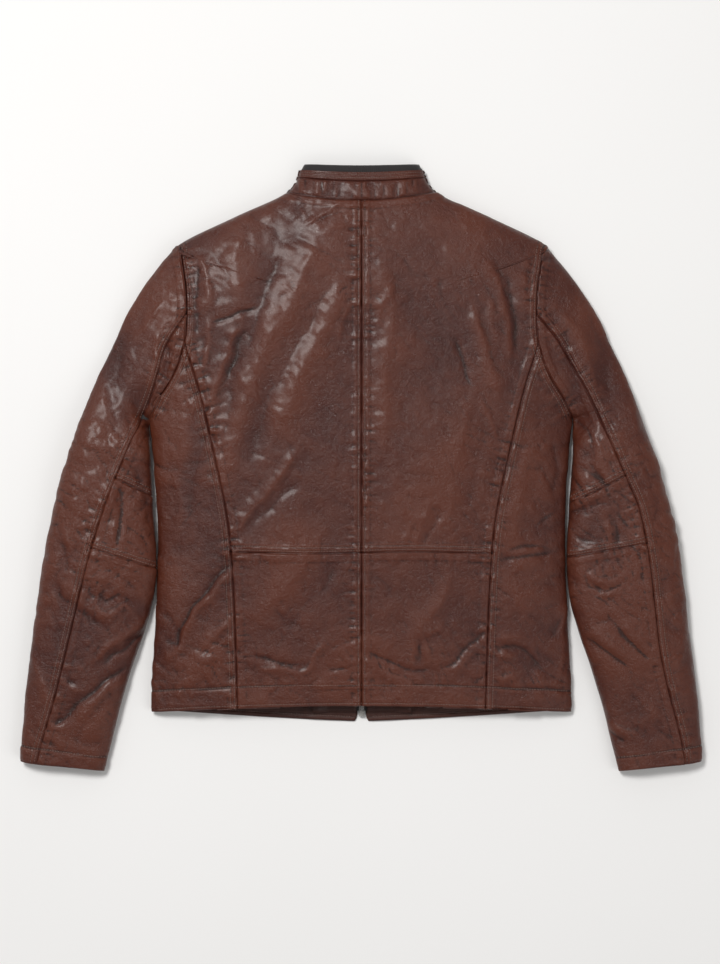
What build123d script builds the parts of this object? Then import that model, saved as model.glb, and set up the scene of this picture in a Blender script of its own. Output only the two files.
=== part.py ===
"""A leather riding jacket lying face down, back up: sewn shell panels, linings, zips and their sliders.

+X points to the wearer's right, +Y to the collar and +Z out of the back. The origin is on the surface that
the jacket lies on, below the middle of its outline. Everything is in millimetres. The left half is modelled
and the right half is its mirror image.
"""

import os
from math import cos, radians, sin

from build123d import *

# ---- Driving dimensions ----
HEM_Y = -306                 # back hem
FRONT_HEM_Y = -318           # front hem beside the zip
WAIST_Y = -107.5             # waist seam across the back
NECK_Y = 340                 # back neck seam at the centre
LEATHER_TOP_Y = 378          # top of the collar's leather
KNIT_TOP_Y = 388             # top of the ribbed knit inside the collar
LEATHER = 2.0                # shell leather with its backing
KNIT = (2.4, 4.2)            # inner ring of the collar and the hem facings: outer and inner inset
LINING = (3.0, 4.0)          # lining: outer and inner inset
POCKET_ROOM = 7.2            # how far the front lining stands off the front leather
SEAM_Z = 9                   # height of the side seams
FAR = 700                    # beyond the jacket, for cutters
TALL = 60                    # above the jacket, for cutters

ZIP_GAP = 5.0                # half the gap between the two front edges
CHAIN_Z = 5.0                # middle of a zip chain
TOOTH_PITCH = 3.6
CUFF_HEM = 19

# ---- Outline of the torso, caps and sleeve: (y, half width or inner and outer x, height of the back) ----
BODY = [
    (-345, 269, 25), (-290, 268.5, 28), (-200, 264, 35), (-110, 260.5, 39), (-30, 262, 41), (60, 269.5, 42),
    (140, 279, 42), (205, 281, 41), (250, 266, 39), (288, 230, 36), (320, 165, 33), (352, 96, 30),
    (388, 76, 27), (410, 66, 25),
]
CAPS = [
    (50, 365, 40), (100, 343, 41), (151, 321, 41), (189, 303, 40), (215, 288, 39), (241, 271, 38),
    (266, 251, 37), (292, 225, 35), (312, 184, 33),
]
ARM = [
    (140, 273, 326, 37), (100, 272.5, 343, 38), (49, 271.5, 363, 38), (-54, 265.5, 394, 37),
    (-118, 263, 406, 36), (-169, 267, 414, 34), (-207, 277, 419, 33), (-259, 294.5, 426, 31),
    (-310, 309.5, 431, 29), (-361, 322.5, 434.6, 26), (-410, 335, 438, 24),
]

# ---- Seams, drawn on the left half ----
ARMHOLE = [
    (-238, 300), (-232, 283), (-223.4, 228), (-222, 190), (-224.6, 157), (-232.3, 132), (-243, 110),
    (-258, 87), (-268, 67), (-276, 55),
]
PRINCESS = [(-224.6, 157), (-205, 93), (-187.5, 18), (-173, -50), (-165.8, WAIST_Y), (-161, -200), (-158, -330)]
SLEEVE_BACK_SEAM = [
    (-200, 215), (-222, 195), (-249, 160), (-262, 128), (-276, 92), (-309, 10), (-340, -82), (-367, -195),
    (-394, -297), (-409, -355), (-420, -410),
]
BEND = [(-262, 64), (-347, 101)]     # line the sleeve opens along; its outer end is the pivot
PIVOT = BEND[1]
ELBOW_TOP = [(-420, 33), (-240, -47)]
ELBOW_LOW = [(-420, -84), (-240, -132)]
CUFF_EDGE = [(-460, -370.3), (-300, -392.4)]
FRONT_SEAM = [(-290, 200), (-290, -100), (-345, -420)]


def quarter(x_wall, x_mid, z_wall, z_flat, fullness):
    """Curve from the widest point of a section to its middle or its flat underside."""
    reach = x_wall + (x_mid - x_wall) * fullness
    Bezier((x_wall, z_wall), (x_wall, z_flat), (reach, z_flat), (x_mid, z_flat))


def section(y, low_x, high_x, height, inset, floor):
    """One cross-section of a flattened tube, moved in by inset, with its underside at floor."""
    sides = inset + max(0, floor - inset) * 1.15
    left, right = low_x + sides, high_x - sides
    middle, top = (left + right) / 2, height - inset
    corner = 14
    widest = max(SEAM_Z, floor + 3)
    with BuildSketch(Plane.XZ.offset(-y)) as face:
        with BuildLine():
            Line((left + corner, floor), (right - corner, floor))
            quarter(right, right - corner, widest, floor, 0.6)
            quarter(right, middle, widest, top, 0.55)
            quarter(left, middle, widest, top, 0.55)
            quarter(left, left + corner, widest, floor, 0.6)
        make_face()
    return face.sketch


def tube(stations, inset, floor, ruled):
    """Solid through all the sections; a body station is symmetric, an arm station has its two edges."""
    with BuildPart() as solid:
        for station in stations:
            if len(station) == 3:
                y, half, height = station
                low_x, high_x = -half, half
            else:
                y, inner, outer, height = station
                low_x, high_x = -outer, -inner
            add(section(y, low_x, high_x, height, inset, floor))
        loft(ruled=ruled)
    return solid.part


def shell(stations, outer, inner, outer_floor, inner_floor, ruled=False):
    """Hollow layer between two insets of the same tube."""
    with BuildPart() as layer:
        add(tube(stations, outer, outer_floor, ruled))
        add(tube(stations, inner, inner_floor, ruled), mode=Mode.SUBTRACT)
    return layer.part


def straight(*points):
    """An outline piece of straight runs."""
    return Polyline, points


def curved(*points):
    """An outline piece that is one smooth curve."""
    return Spline, points


def block(low, high, *pieces):
    """Cutter: the closed outline made of the pieces, from z low to z high."""
    with BuildPart() as cutter:
        with BuildSketch(Plane.XY.offset(low)):
            with BuildLine():
                for draw, points in pieces:
                    draw(*points)
            make_face()
        extrude(amount=high - low)
    return cutter.part


def cut(layer, *cutters, without=()):
    """The part of a layer that lies inside every cutter and outside each of the others."""
    with BuildPart() as panel:
        add(layer)
        for cutter in cutters:
            add(cutter, mode=Mode.INTERSECT)
        for cutter in without:
            add(cutter, mode=Mode.SUBTRACT)
    return panel.part


def union(*pieces):
    """Several cutters as one."""
    with BuildPart() as whole:
        for piece in pieces:
            add(piece)
    return whole.part


def save(shape, name):
    """Writes one sub-part under its node's name."""
    shape.label = name
    export_step(shape, f"parts/{name}.step")


def save_pair(shape, name):
    """Writes a left sub-part and its mirror image."""
    save(shape, f"left_{name}")
    save(mirror(shape, about=Plane.YZ), f"right_{name}")


def side(points, sign):
    """The same points on the left (sign 1) or mirrored to the right (sign -1)."""
    return [(sign * x, y) for x, y in points]


os.makedirs("parts", exist_ok=True)

# ---- Layers ----
body_leather = shell(BODY, 0, LEATHER, -1, LEATHER)
body_knit = shell(BODY, *KNIT, *KNIT)
body_lining = shell(BODY, *LINING, LINING[0] + POCKET_ROOM, LINING[1] + POCKET_ROOM)
cap_leather = shell(CAPS, 0, LEATHER, -1, LEATHER, ruled=True)
cap_lining = shell(CAPS, *LINING, *LINING, ruled=True)
arm_leather = shell(ARM, 0, LEATHER, -1, LEATHER)
arm_lining = shell(ARM, *LINING, *LINING)
arm_facing = shell(ARM, *KNIT, *KNIT)

# ---- Cutters shared by several panels ----
upper = block(SEAM_Z, TALL, straight((-FAR, -FAR), (FAR, -FAR), (FAR, FAR), (-FAR, FAR), (-FAR, -FAR)))
left_of_centre = block(0, TALL, straight((-FAR, -FAR), (0, -FAR), (0, FAR), (-FAR, FAR), (-FAR, -FAR)))
inside_armhole = block(
    0, TALL, curved(*ARMHOLE),
    straight(ARMHOLE[-1], (-FAR, ARMHOLE[-1][1]), (-FAR, -FAR), (0, -FAR), (0, FAR), (-238, FAR), ARMHOLE[0]),
)
inside_armholes = union(inside_armhole, mirror(inside_armhole, about=Plane.YZ))
outside_armhole = block(
    0, TALL, curved(*ARMHOLE),
    straight(ARMHOLE[-1], (-FAR, ARMHOLE[-1][1]), (-FAR, FAR), (-238, FAR), ARMHOLE[0]),
)
inside_princess = block(
    0, TALL, curved(*PRINCESS),
    straight(PRINCESS[-1], (0, -330), (0, FAR), (-FAR, FAR), (-FAR, 157), PRINCESS[0]),
)
outside_princess = block(
    0, TALL, curved(*PRINCESS),
    straight(PRINCESS[-1], (-FAR, -330), (-FAR, 157), PRINCESS[0]),
)


def band(low_y, high_y, low=0, high=TALL):
    """Cutter for everything between two straight lines across the jacket."""
    return block(low, high, straight((-FAR, low_y), (FAR, low_y), (FAR, high_y), (-FAR, high_y), (-FAR, low_y)))


def neck_arc(rise):
    """Outline piece along the back neck seam, moved up by rise."""
    return ThreePointArc, [(-110, NECK_Y + 15 + rise), (0, NECK_Y + rise), (110, NECK_Y + 15 + rise)]


def below_back_neck(rise, low=SEAM_Z):
    """Cutter for everything below the back neck seam."""
    return block(
        low, TALL, neck_arc(rise),
        straight((110, NECK_Y + 15 + rise), (FAR, NECK_Y + 15 + rise), (FAR, -FAR), (-FAR, -FAR),
                 (-FAR, NECK_Y + 15 + rise), (-110, NECK_Y + 15 + rise)),
    )


def front_neck(rise, low=0, high=SEAM_Z):
    """Cutter for the scoop of the front neck: rise 0 is its seam, 47 the collar's top edge."""
    share = rise / 47
    half_width, depth, centre_y = 97 - 21 * share, 97 - 11 * share, 352 + 36 * share
    with BuildPart() as scoop:
        with BuildSketch(Plane.XY.offset(low)):
            with Locations((0, centre_y)):
                Ellipse(half_width, depth)
            with Locations((0, centre_y + 50)):
                Rectangle(2 * half_width, 100)
        extrude(amount=high - low)
    return scoop.part


# ---- Back panels ----
neck_seam = below_back_neck(0)
centre_back = cut(body_leather, upper, left_of_centre, inside_armhole, inside_princess, neck_seam)
save_pair(cut(centre_back, band(WAIST_Y, FAR)), "back_panel")
save_pair(cut(centre_back, band(HEM_Y, WAIST_Y)), "back_waist_panel")
save_pair(cut(body_leather, upper, outside_princess, inside_armhole, band(HEM_Y, FAR)), "side_back_panel")

# ---- Front panels, with their slanted pocket slots ----
front_edge = block(
    0, SEAM_Z,
    straight((-ZIP_GAP, FAR), (-ZIP_GAP, FRONT_HEM_Y + 4), (-ZIP_GAP - 5, FRONT_HEM_Y - 6), (-120, -318),
             (-300, -306), (-FAR, -306), (-FAR, FAR), (-ZIP_GAP, FAR)),
)
POCKET_AT = (-165, -125)             # middle of the left pocket slot
POCKET_TILT = -20                    # the slot leans this far from upright
POCKET_LENGTH = 150
POCKET_SLOT = 13


def tilted_plane(z):
    """Sketch plane of the left pocket, whose Y runs along the slot towards its closed end."""
    tilt = radians(POCKET_TILT)
    return Plane(origin=(*POCKET_AT, z), x_dir=(cos(tilt), sin(tilt), 0), z_dir=(0, 0, 1))


with BuildPart() as edge_strip:
    with Locations((-12, 0, LEATHER + 1.3)):
        Box(10, 2 * FAR, 2.6)

with BuildPart() as left_front:
    add(cut(body_leather, front_edge, inside_armhole, without=[front_neck(0)]))
    add(cut(edge_strip.part, front_edge, band(-FAR, NECK_Y, 0), without=[front_neck(0)]))
    with BuildSketch(tilted_plane(0)):
        RectangleRounded(POCKET_SLOT, POCKET_LENGTH + 12, 3)
    extrude(amount=SEAM_Z, mode=Mode.SUBTRACT)
save_pair(left_front.part, "front_panel")

# ---- Collar: leather stand, leather top band and the ribbed knit inside them ----
above_neck = union(
    cut(band(0, FAR, SEAM_Z), without=[below_back_neck(0)]),
    front_neck(0),
)
above_band_seam = union(band(366, FAR, SEAM_Z), front_neck(35))
above_leather = union(band(LEATHER_TOP_Y, FAR, SEAM_Z), front_neck(43))
above_knit = union(band(KNIT_TOP_Y, FAR, SEAM_Z), front_neck(51))
zip_channel = block(-1, SEAM_Z, straight((-ZIP_GAP, 0), (ZIP_GAP, 0), (ZIP_GAP, FAR), (-ZIP_GAP, FAR), (-ZIP_GAP, 0)))
tape_channel = block(-1, 5.6, straight((-18, 0), (18, 0), (18, FAR), (-18, FAR), (-18, 0)))

save(cut(body_leather, above_neck, without=[above_band_seam, zip_channel]), "collar_stand")
save(cut(body_leather, above_band_seam, without=[above_leather, zip_channel]), "collar_top_band")
knit_ring = union(cut(band(0, FAR, SEAM_Z), without=[below_back_neck(2)]), front_neck(2))
save(cut(body_knit, knit_ring, without=[above_knit, tape_channel]), "collar_rib_knit")

# ---- Facings and lining of the body ----
HEM_FACING = 32
FACING_WIDTH = 64
LINING_Z = LINING[0] + POCKET_ROOM
LINING_SEAM_Z = LINING_Z + 5
LINED_FROM = HEM_Y + HEM_FACING + 1
save(cut(body_knit, upper, band(HEM_Y, HEM_Y + HEM_FACING)), "back_hem_facing")
with BuildPart() as hem_strip:
    add(cut(body_knit, front_edge, band(FRONT_HEM_Y - 10, HEM_Y + HEM_FACING)))
    with Locations((0, FRONT_HEM_Y, 0)):
        Box(36, 120, 40, mode=Mode.SUBTRACT)
save_pair(hem_strip.part, "front_hem_facing")

with BuildPart() as facing_strip:
    with BuildSketch(Plane.XZ.offset(-FRONT_HEM_Y - 4)):
        with BuildLine():
            Polyline((-8, 5.6), (-44, 5.6), (-57, LINING_Z), (-FACING_WIDTH, LINING_Z),
                     (-FACING_WIDTH, LINING_Z + 1.2), (-56.5, LINING_Z + 1.2), (-43.5, 6.8), (-8, 6.8), (-8, 5.6))
        make_face()
    extrude(amount=-600)
save_pair(cut(facing_strip.part, without=[front_neck(-3, 0, TALL)]), "front_facing")

save(cut(body_lining, band(LINED_FROM, FAR, LINING_SEAM_Z), inside_armholes, below_back_neck(-2)), "back_lining")
with BuildPart() as left_front_lining:
    add(cut(body_lining, band(LINED_FROM, 320, 0, LINING_SEAM_Z), inside_armhole, without=[front_neck(-3)]))
    with Locations((0, 0, 0)):
        Box(2 * FACING_WIDTH, 2 * FAR, TALL, mode=Mode.SUBTRACT)
save_pair(left_front_lining.part, "front_lining")

# ---- Sleeves: the caps stay with the body, the arms swing about the pivot ----
BEND_GAP = 1.2


def past(line, first, last, shift=0):
    """Cutter for everything on the -Y side of a slanted line, moved down by shift."""
    (x0, y0), (x1, y1) = line
    slope = (y1 - y0) / (x1 - x0)
    left_y = y0 + slope * (-FAR - x0) - shift
    right_y = y0 + slope * (0 - x0) - shift
    return block(first, last, straight((-FAR, left_y), (0, right_y), (0, -FAR), (-FAR, -FAR), (-FAR, left_y)))


below_bend = past(BEND, -1, TALL)
arm_side = past(BEND, -1, TALL, BEND_GAP)
cuff_end = past(CUFF_EDGE, -1, TALL)
cuff_hem = past(CUFF_EDGE, -1, TALL, -28)
below_elbow_top = past(ELBOW_TOP, -1, TALL)
below_elbow_low = past(ELBOW_LOW, -1, TALL)
top_side = union(
    block(SEAM_Z, TALL, curved(*SLEEVE_BACK_SEAM),
          straight(SLEEVE_BACK_SEAM[-1], (-FAR, -410), (-FAR, FAR), (-200, FAR), SLEEVE_BACK_SEAM[0])),
    block(0, SEAM_Z, straight(*FRONT_SEAM, (-FAR, -420), (-FAR, 200), FRONT_SEAM[0])),
)

cap = cut(cap_leather, outside_armhole, without=[below_bend])
head_side = union(top_side, band(-FAR, FAR, 0, SEAM_Z))
save_pair(cut(cap, head_side), "top_sleeve_head")
save_pair(cut(cap, without=[head_side]), "under_sleeve_head")
save_pair(cut(cap_lining, outside_armhole, without=[below_bend]), "sleeve_head_lining")

arm = cut(arm_leather, arm_side, left_of_centre, without=[cuff_end])
under = cut(arm, without=[top_side])
save_pair(cut(arm, top_side), "top_sleeve")
save_pair(cut(under, without=[below_elbow_top]), "under_sleeve")
save_pair(cut(under, below_elbow_top, without=[below_elbow_low]), "elbow_panel")
save_pair(cut(under, below_elbow_low), "forearm_panel")
save_pair(cut(arm_lining, arm_side, left_of_centre, without=[cuff_hem]), "sleeve_lining")
save_pair(cut(arm_facing, cuff_hem, left_of_centre, without=[cuff_end]), "cuff_facing")


# ---- Zips ----
def tooth_row(count, first_y, hand):
    """One row of separate teeth along Y; hand -1 is the left row and 1 the right one."""
    offset = 0 if hand < 0 else TOOTH_PITCH / 2
    places = [(hand * 1.15, first_y + offset + i * TOOTH_PITCH, CHAIN_Z) for i in range(count)]
    with BuildPart() as row:
        with Locations(*places):
            Box(4.1, 1.4, 3.0)
    return row.part


def zip_tape(length, first_y, hand, width=14):
    """One woven tape, whose inner edge meets the backs of its teeth."""
    with BuildPart() as tape:
        with Locations((hand * (3.2 + width / 2), first_y + length / 2, CHAIN_Z)):
            Box(width, length, 0.8)
    return tape.part


def slider(top_y, scale=1.0):
    """Slider with its mouth at top_y: two plates, a wedge post, side flanges and the crown for the pull."""
    length = 14
    with BuildPart() as body:
        for z, outline in ((2.1, 1.1), (6.8, 1.1)):
            with BuildSketch(Plane.XY.offset(z)):
                with BuildLine():
                    Polyline((-5, top_y - length), (5, top_y - length), (6.4, top_y - 5), (5.4, top_y),
                             (-5.4, top_y), (-6.4, top_y - 5), (-5, top_y - length))
                make_face()
                with Locations((0, top_y)):
                    Circle(0.9, mode=Mode.SUBTRACT)
            extrude(amount=outline)
        with BuildSketch(Plane.XY.offset(3.0)):
            with BuildLine():
                Polyline((0, top_y - 4.6), (1.9, top_y - 2.4), (0, top_y - 0.9), (-1.9, top_y - 2.4),
                         (0, top_y - 4.6))
            make_face()
        extrude(amount=4.0)
        for x in (-1, 1):
            for z in (3.65, 6.35):
                with Locations((x * 5.0, top_y - 9, z)):
                    Box(0.8, 9, 0.9)
        for y in (top_y - 2.6, top_y - 11):
            with Locations((0, y, 1.2)):
                Box(1.8, 1.2, 1.9)
        with Locations((0, top_y - 6.8, 0.55)):
            Box(1.8, 9.6, 0.6)
    return body.part


def pull(top_y, length=30):
    """Pull tab: two arms round the crown, a bar through it and a long rounded blade."""
    bar_y = top_y - 6.8
    with BuildPart() as tab:
        with Locations((0, bar_y, 1.45)):
            Cylinder(0.42, 5.4, rotation=(0, 90, 0))
        for x in (-1, 1):
            with Locations((x * 2.2, bar_y - 3.6, 1.45)):
                Box(1.2, 7.9, 0.84)
        with BuildSketch(Plane.XY.offset(1.03)):
            with Locations((0, bar_y - 6.2 - length / 2)):
                RectangleRounded(6.4, length, 1.6)
            with Locations((0, bar_y - 6.2 - length + 5)):
                Circle(1.3, mode=Mode.SUBTRACT)
        extrude(amount=0.84)
    return tab.part


ZIP_LOW_Y, ZIP_TOP_Y = FRONT_HEM_Y + 10, 286
tooth_count = int((ZIP_TOP_Y - 6 - ZIP_LOW_Y) / TOOTH_PITCH)
save(tooth_row(tooth_count, ZIP_LOW_Y, -1), "left_zip_teeth")
save(tooth_row(tooth_count, ZIP_LOW_Y, 1), "right_zip_teeth")
save(zip_tape(ZIP_TOP_Y + 10 - FRONT_HEM_Y, FRONT_HEM_Y, -1), "left_zip_tape")
save(zip_tape(ZIP_TOP_Y + 10 - FRONT_HEM_Y, FRONT_HEM_Y, 1), "right_zip_tape")
save(slider(ZIP_TOP_Y + 4), "zip_slider")
save(pull(ZIP_TOP_Y + 4), "zip_pull")

with BuildPart() as retainer_box:
    with Locations((0.8, FRONT_HEM_Y + 3.6, CHAIN_Z)):
        Box(4.8, 8.0, 3.6)
save(retainer_box.part, "zip_retainer_box")
with BuildPart() as insertion_pin:
    with Locations((-2.4, FRONT_HEM_Y + 3.6, CHAIN_Z)):
        Box(1.4, 8.0, 2.4)
save(insertion_pin.part, "zip_insertion_pin")

# ---- Pockets ----
pocket_frame = Location((*POCKET_AT, 0), (0, 0, POCKET_TILT))
pocket_top_y = POCKET_LENGTH / 2 - 2
pocket_teeth_count = int((POCKET_LENGTH - 12) / TOOTH_PITCH)
with BuildPart() as welt:
    with BuildSketch(Plane.XY.offset(LEATHER)):
        RectangleRounded(38, POCKET_LENGTH + 34, 4)
        RectangleRounded(POCKET_SLOT + 1, POCKET_LENGTH + 12, 3, mode=Mode.SUBTRACT)
    extrude(amount=2.6)
with BuildPart() as bag:
    with BuildSketch(Plane.XY.offset(8.4)):
        with Locations((34, -30)):
            RectangleRounded(128, POCKET_LENGTH + 24, 18)
    extrude(amount=1.4)
pocket_pieces = {
    "pocket_welt": welt.part,
    "pocket_bag": bag.part,
    "pocket_zip_teeth": union(
        tooth_row(pocket_teeth_count, -POCKET_LENGTH / 2, -1), tooth_row(pocket_teeth_count, -POCKET_LENGTH / 2, 1)
    ),
    "pocket_zip_tape": union(
        zip_tape(POCKET_LENGTH + 24, -POCKET_LENGTH / 2 - 12, -1, 12),
        zip_tape(POCKET_LENGTH + 24, -POCKET_LENGTH / 2 - 12, 1, 12),
    ),
    "pocket_zip_slider": slider(pocket_top_y),
    "pocket_zip_pull": pull(pocket_top_y, 24),
}
for piece_name, piece in pocket_pieces.items():
    save_pair(pocket_frame * piece, piece_name)

# ---- Hanger loop inside the back neck ----
LOOP_Y = NECK_Y - 8
with BuildPart() as loop:
    with BuildSketch(Plane.XZ.offset(-LOOP_Y)):
        with BuildLine():
            Polyline((-34, 25.6), (-26, 25.6), (-18, 18), (18, 18), (26, 25.6), (34, 25.6))
            offset(amount=0.8)
        make_face()
    extrude(amount=-8)
save(loop.part, "hanger_loop")
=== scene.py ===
# %% [markdown]
# A leather riding jacket lies face down on a pale floor. Its back is one wide shallow dome, its sleeves
# are flattened tubes, and everything that makes it look like leather happens on top of those simple
# shapes: seams, puckers, folds and grain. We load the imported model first, because every piece moves with
# one of its bodies, and its box says how large the finished jacket may be.

# %% Load the frame
import math

import bmesh
import bpy
import numpy as np
from mathutils import Matrix, Vector
from mathutils.bvhtree import BVHTree


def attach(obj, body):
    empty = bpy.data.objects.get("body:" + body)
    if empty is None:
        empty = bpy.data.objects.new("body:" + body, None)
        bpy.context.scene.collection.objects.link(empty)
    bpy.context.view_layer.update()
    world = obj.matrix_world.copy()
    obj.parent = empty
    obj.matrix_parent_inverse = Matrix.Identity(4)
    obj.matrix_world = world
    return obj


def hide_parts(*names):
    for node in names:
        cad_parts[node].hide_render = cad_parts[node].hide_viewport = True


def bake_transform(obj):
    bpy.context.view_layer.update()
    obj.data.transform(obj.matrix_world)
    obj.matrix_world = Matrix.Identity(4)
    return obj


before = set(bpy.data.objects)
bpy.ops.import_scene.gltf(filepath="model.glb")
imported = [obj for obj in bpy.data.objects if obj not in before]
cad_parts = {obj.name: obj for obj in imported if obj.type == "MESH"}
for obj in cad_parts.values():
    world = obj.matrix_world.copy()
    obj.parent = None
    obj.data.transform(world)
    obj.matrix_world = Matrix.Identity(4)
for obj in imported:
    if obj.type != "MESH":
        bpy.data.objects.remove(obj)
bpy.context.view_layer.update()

MM = 0.001
SIDES = ((-1, "left"), (1, "right"))

# %% [markdown]
# The camera hangs straight above the jacket and looks down, as for a catalogue picture of laid-out
# clothes. A long lens from three metres keeps the sleeves from leaning outwards. The floor is a plain
# pale sheet, and one large soft light from the upper left leaves short soft shadows to the lower right.

# %% Camera, floor and light
CAMERA_PLACE = (-0.002, -0.018, 3.0)
LENS_TO_BACK = 2.99
VIEW_HEIGHT = 1.234
SENSOR = 24
LAMP_WHITE = (1.0, 0.985, 0.97)
WORLD_WHITE = (1.0, 0.99, 0.98, 1)
WORLD_POWER = 0.36

scene = bpy.context.scene
scene.view_settings.view_transform = "Standard"
camera_data = bpy.data.cameras.new("camera")
camera = bpy.data.objects.new("camera", camera_data)
scene.collection.objects.link(camera)
scene.camera = camera
camera.location = CAMERA_PLACE
camera_data.sensor_fit = "VERTICAL"
camera_data.sensor_height = SENSOR
camera_data.lens = SENSOR * LENS_TO_BACK / VIEW_HEIGHT
print("lens", round(camera_data.lens, 2), "millimetres")


def area_light(name, place, size, power):
    """A soft square light that points at the middle of the jacket."""
    lamp = bpy.data.lights.new(name, "AREA")
    lamp.size = size
    lamp.energy = power
    lamp.color = LAMP_WHITE
    holder = bpy.data.objects.new(name, lamp)
    holder.location = place
    holder.rotation_euler = (Vector((0, 0, 0)) - Vector(place)).to_track_quat("-Z", "Y").to_euler()
    scene.collection.objects.link(holder)


area_light("key", (-1.15, 1.42, 3.5), 1.0, 112)
area_light("fill", (2.0, -1.4, 2.2), 2.0, 14)
world = bpy.data.worlds.new("studio")
scene.world = world
world.use_nodes = True
sky = world.node_tree.nodes["Background"].inputs
sky["Color"].default_value = WORLD_WHITE
sky["Strength"].default_value = WORLD_POWER

# %% [markdown]
# Every body panel is a patch of one flattened tube, so we describe the tube once. A section is a low dome:
# the position across it is a number from 0 at the middle to 1 at the side seam, and one curve turns that
# number into width and height. The underside is flat with a small rounded corner. A row of a table is a
# height up the jacket, the width there (half of it for the body, the inner and the outer edge for the arm)
# and the height of the dome, in millimetres.

# %% The flattened tube
BODY = np.array([
    (-345, 269, 25), (-290, 268.5, 28), (-200, 264, 35), (-110, 260.5, 39), (-30, 262, 41), (60, 269.5, 42),
    (140, 279, 42), (205, 281, 41), (250, 266, 39), (288, 230, 36), (320, 165, 33), (352, 96, 30),
    (388, 76, 27), (410, 66, 25),
], float)
CAPS = np.array([
    (50, 365, 40), (100, 343, 41), (151, 321, 41), (189, 303, 40), (215, 288, 39), (241, 271, 38),
    (266, 251, 37), (292, 225, 35), (312, 184, 33),
], float)
ARM = np.array([
    (-410, 335, 438, 24), (-361, 322.5, 434.6, 26), (-310, 309.5, 431, 29), (-259, 294.5, 426, 31),
    (-207, 277, 419, 33), (-169, 267, 414, 34), (-118, 263, 406, 36), (-54, 265.5, 394, 37),
    (49, 271.5, 363, 38), (100, 272.5, 343, 38), (140, 273, 326, 37),
], float)
SIDE_Z = 9.0
CORNER = 14.0
FLAT_SHARE = 0.88
DOME_FULLNESS = 1.35
CORNER_FULLNESS = 1.2


def along(table, y, column):
    """Smooth value of one column of a table of stations at y."""
    ys, values = table[:, 0], table[:, column]
    y = np.clip(np.asarray(y, float), ys[0], ys[-1])
    slope = np.gradient(values, ys)
    i = np.clip(np.searchsorted(ys, y) - 1, 0, len(ys) - 2)
    h = ys[i + 1] - ys[i]
    t = (y - ys[i]) / h
    return ((2 * t**3 - 3 * t**2 + 1) * values[i] + (t**3 - 2 * t**2 + t) * h * slope[i]
            + (3 * t**2 - 2 * t**3) * values[i + 1] + (t**3 - t**2) * h * slope[i + 1])


def dome_width(u):
    """Share of the half width at position u from the middle (0) to the side (1)."""
    return u**3 + 3 * u**2 * (1 - u) + DOME_FULLNESS * u * (1 - u) ** 2


U_TABLE = np.linspace(0, 1, 800)
DOME_TABLE = dome_width(U_TABLE)


def corner_share(t):
    """How far out the rounded lower corner is at t, from 1 at the wall to 0 where it meets the flat."""
    return (1 - t) ** 3 + 3 * (1 - t) ** 2 * t + CORNER_FULLNESS * (1 - t) * t**2


def tube_point(a, half, height, inset=0.0, floor=0.0):
    """Across and up for position a: 0 is the back's middle, 1 or -1 a side seam, 2 or -2 the front."""
    a = np.asarray(a, float)
    size = np.abs(a)
    wall, top = half - inset, height - inset
    low = floor + inset
    u = np.clip(size, 0, 1)
    x_back = wall * dome_width(u)
    z_back = top - (top - SIDE_Z) * u**3
    v = np.clip(2 - size, 0, 1)
    t = np.clip((1 - v) / (1 - FLAT_SHARE), 0, 1)
    x_front = np.where(v < FLAT_SHARE, (wall - CORNER) * v / FLAT_SHARE,
                       wall - CORNER + CORNER * corner_share(t))
    z_front = low + (SIDE_Z - low) * np.where(v < FLAT_SHARE, 0, (1 - t) ** 3)
    front = size > 1
    return np.sign(a) * np.where(front, x_front, x_back), np.where(front, z_front, z_back)


def back_position(x, half):
    """Position a of a point of the back that is x from the middle."""
    return np.sign(x) * np.interp(np.abs(x) / half, DOME_TABLE, U_TABLE)


def front_position(x, half):
    """Position a of a point of the front that is x from the middle."""
    size = np.abs(x)
    t_table = np.linspace(1, 0, 200)
    t = np.interp((size - half + CORNER) / CORNER, corner_share(t_table), t_table)
    v = np.where(size <= half - CORNER, FLAT_SHARE * size / (half - CORNER), 1 - t * (1 - FLAT_SHARE))
    return np.sign(x) * (2 - v)


def body_surface(a, y, inset=0.0, floor=0.0):
    """Points of the body's tube, in millimetres."""
    x, z = tube_point(a, along(BODY, y, 1), along(BODY, y, 2), inset, floor)
    return np.stack([x, y, z], axis=-1)


# %% [markdown]
# Leather is never even. Soft noise gives the slow swells of a skin that has been worn, and the same noise
# folded at zero gives the sharp little valleys between them. Both are made here from a fixed hash, so
# the jacket is the same each time.

# %% Noise
def lattice(ix, iy, seed):
    """A fixed random number from -1 to 1 for each cell."""
    value = np.sin(ix * 127.1 + iy * 311.7 + seed * 74.7) * 43758.5453
    return 2 * (value - np.floor(value)) - 1


def noise(x, y, seed):
    """Smooth noise from -1 to 1 with cells one unit across."""
    ix, iy = np.floor(x), np.floor(y)
    fx, fy = x - ix, y - iy
    fx, fy = fx**3 * (fx * (6 * fx - 15) + 10), fy**3 * (fy * (6 * fy - 15) + 10)
    low = lattice(ix, iy, seed) * (1 - fx) + lattice(ix + 1, iy, seed) * fx
    high = lattice(ix, iy + 1, seed) * (1 - fx) + lattice(ix + 1, iy + 1, seed) * fx
    return low * (1 - fy) + high * fy


def crumple(x, y, size, seed, turn=0.6, stretch=1.0):
    """Rounded hills with sharp valleys between them, from 0 to about 1."""
    c, s = math.cos(turn), math.sin(turn)
    p, q = (x * c + y * s) / size, (y * c - x * s) / (size * stretch)
    p = p + 0.6 * noise(q * 0.7 + 3.1, p * 0.7, seed + 5)
    return np.abs(noise(p, q, seed)) * 0.65 + np.abs(noise(p * 2.1, q * 2.1, seed + 1)) * 0.35


def ramp(low, high, value):
    """Smooth step from 0 at low to 1 at high."""
    t = np.clip((value - low) / (high - low), 0, 1)
    return t * t * (3 - 2 * t)


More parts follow.
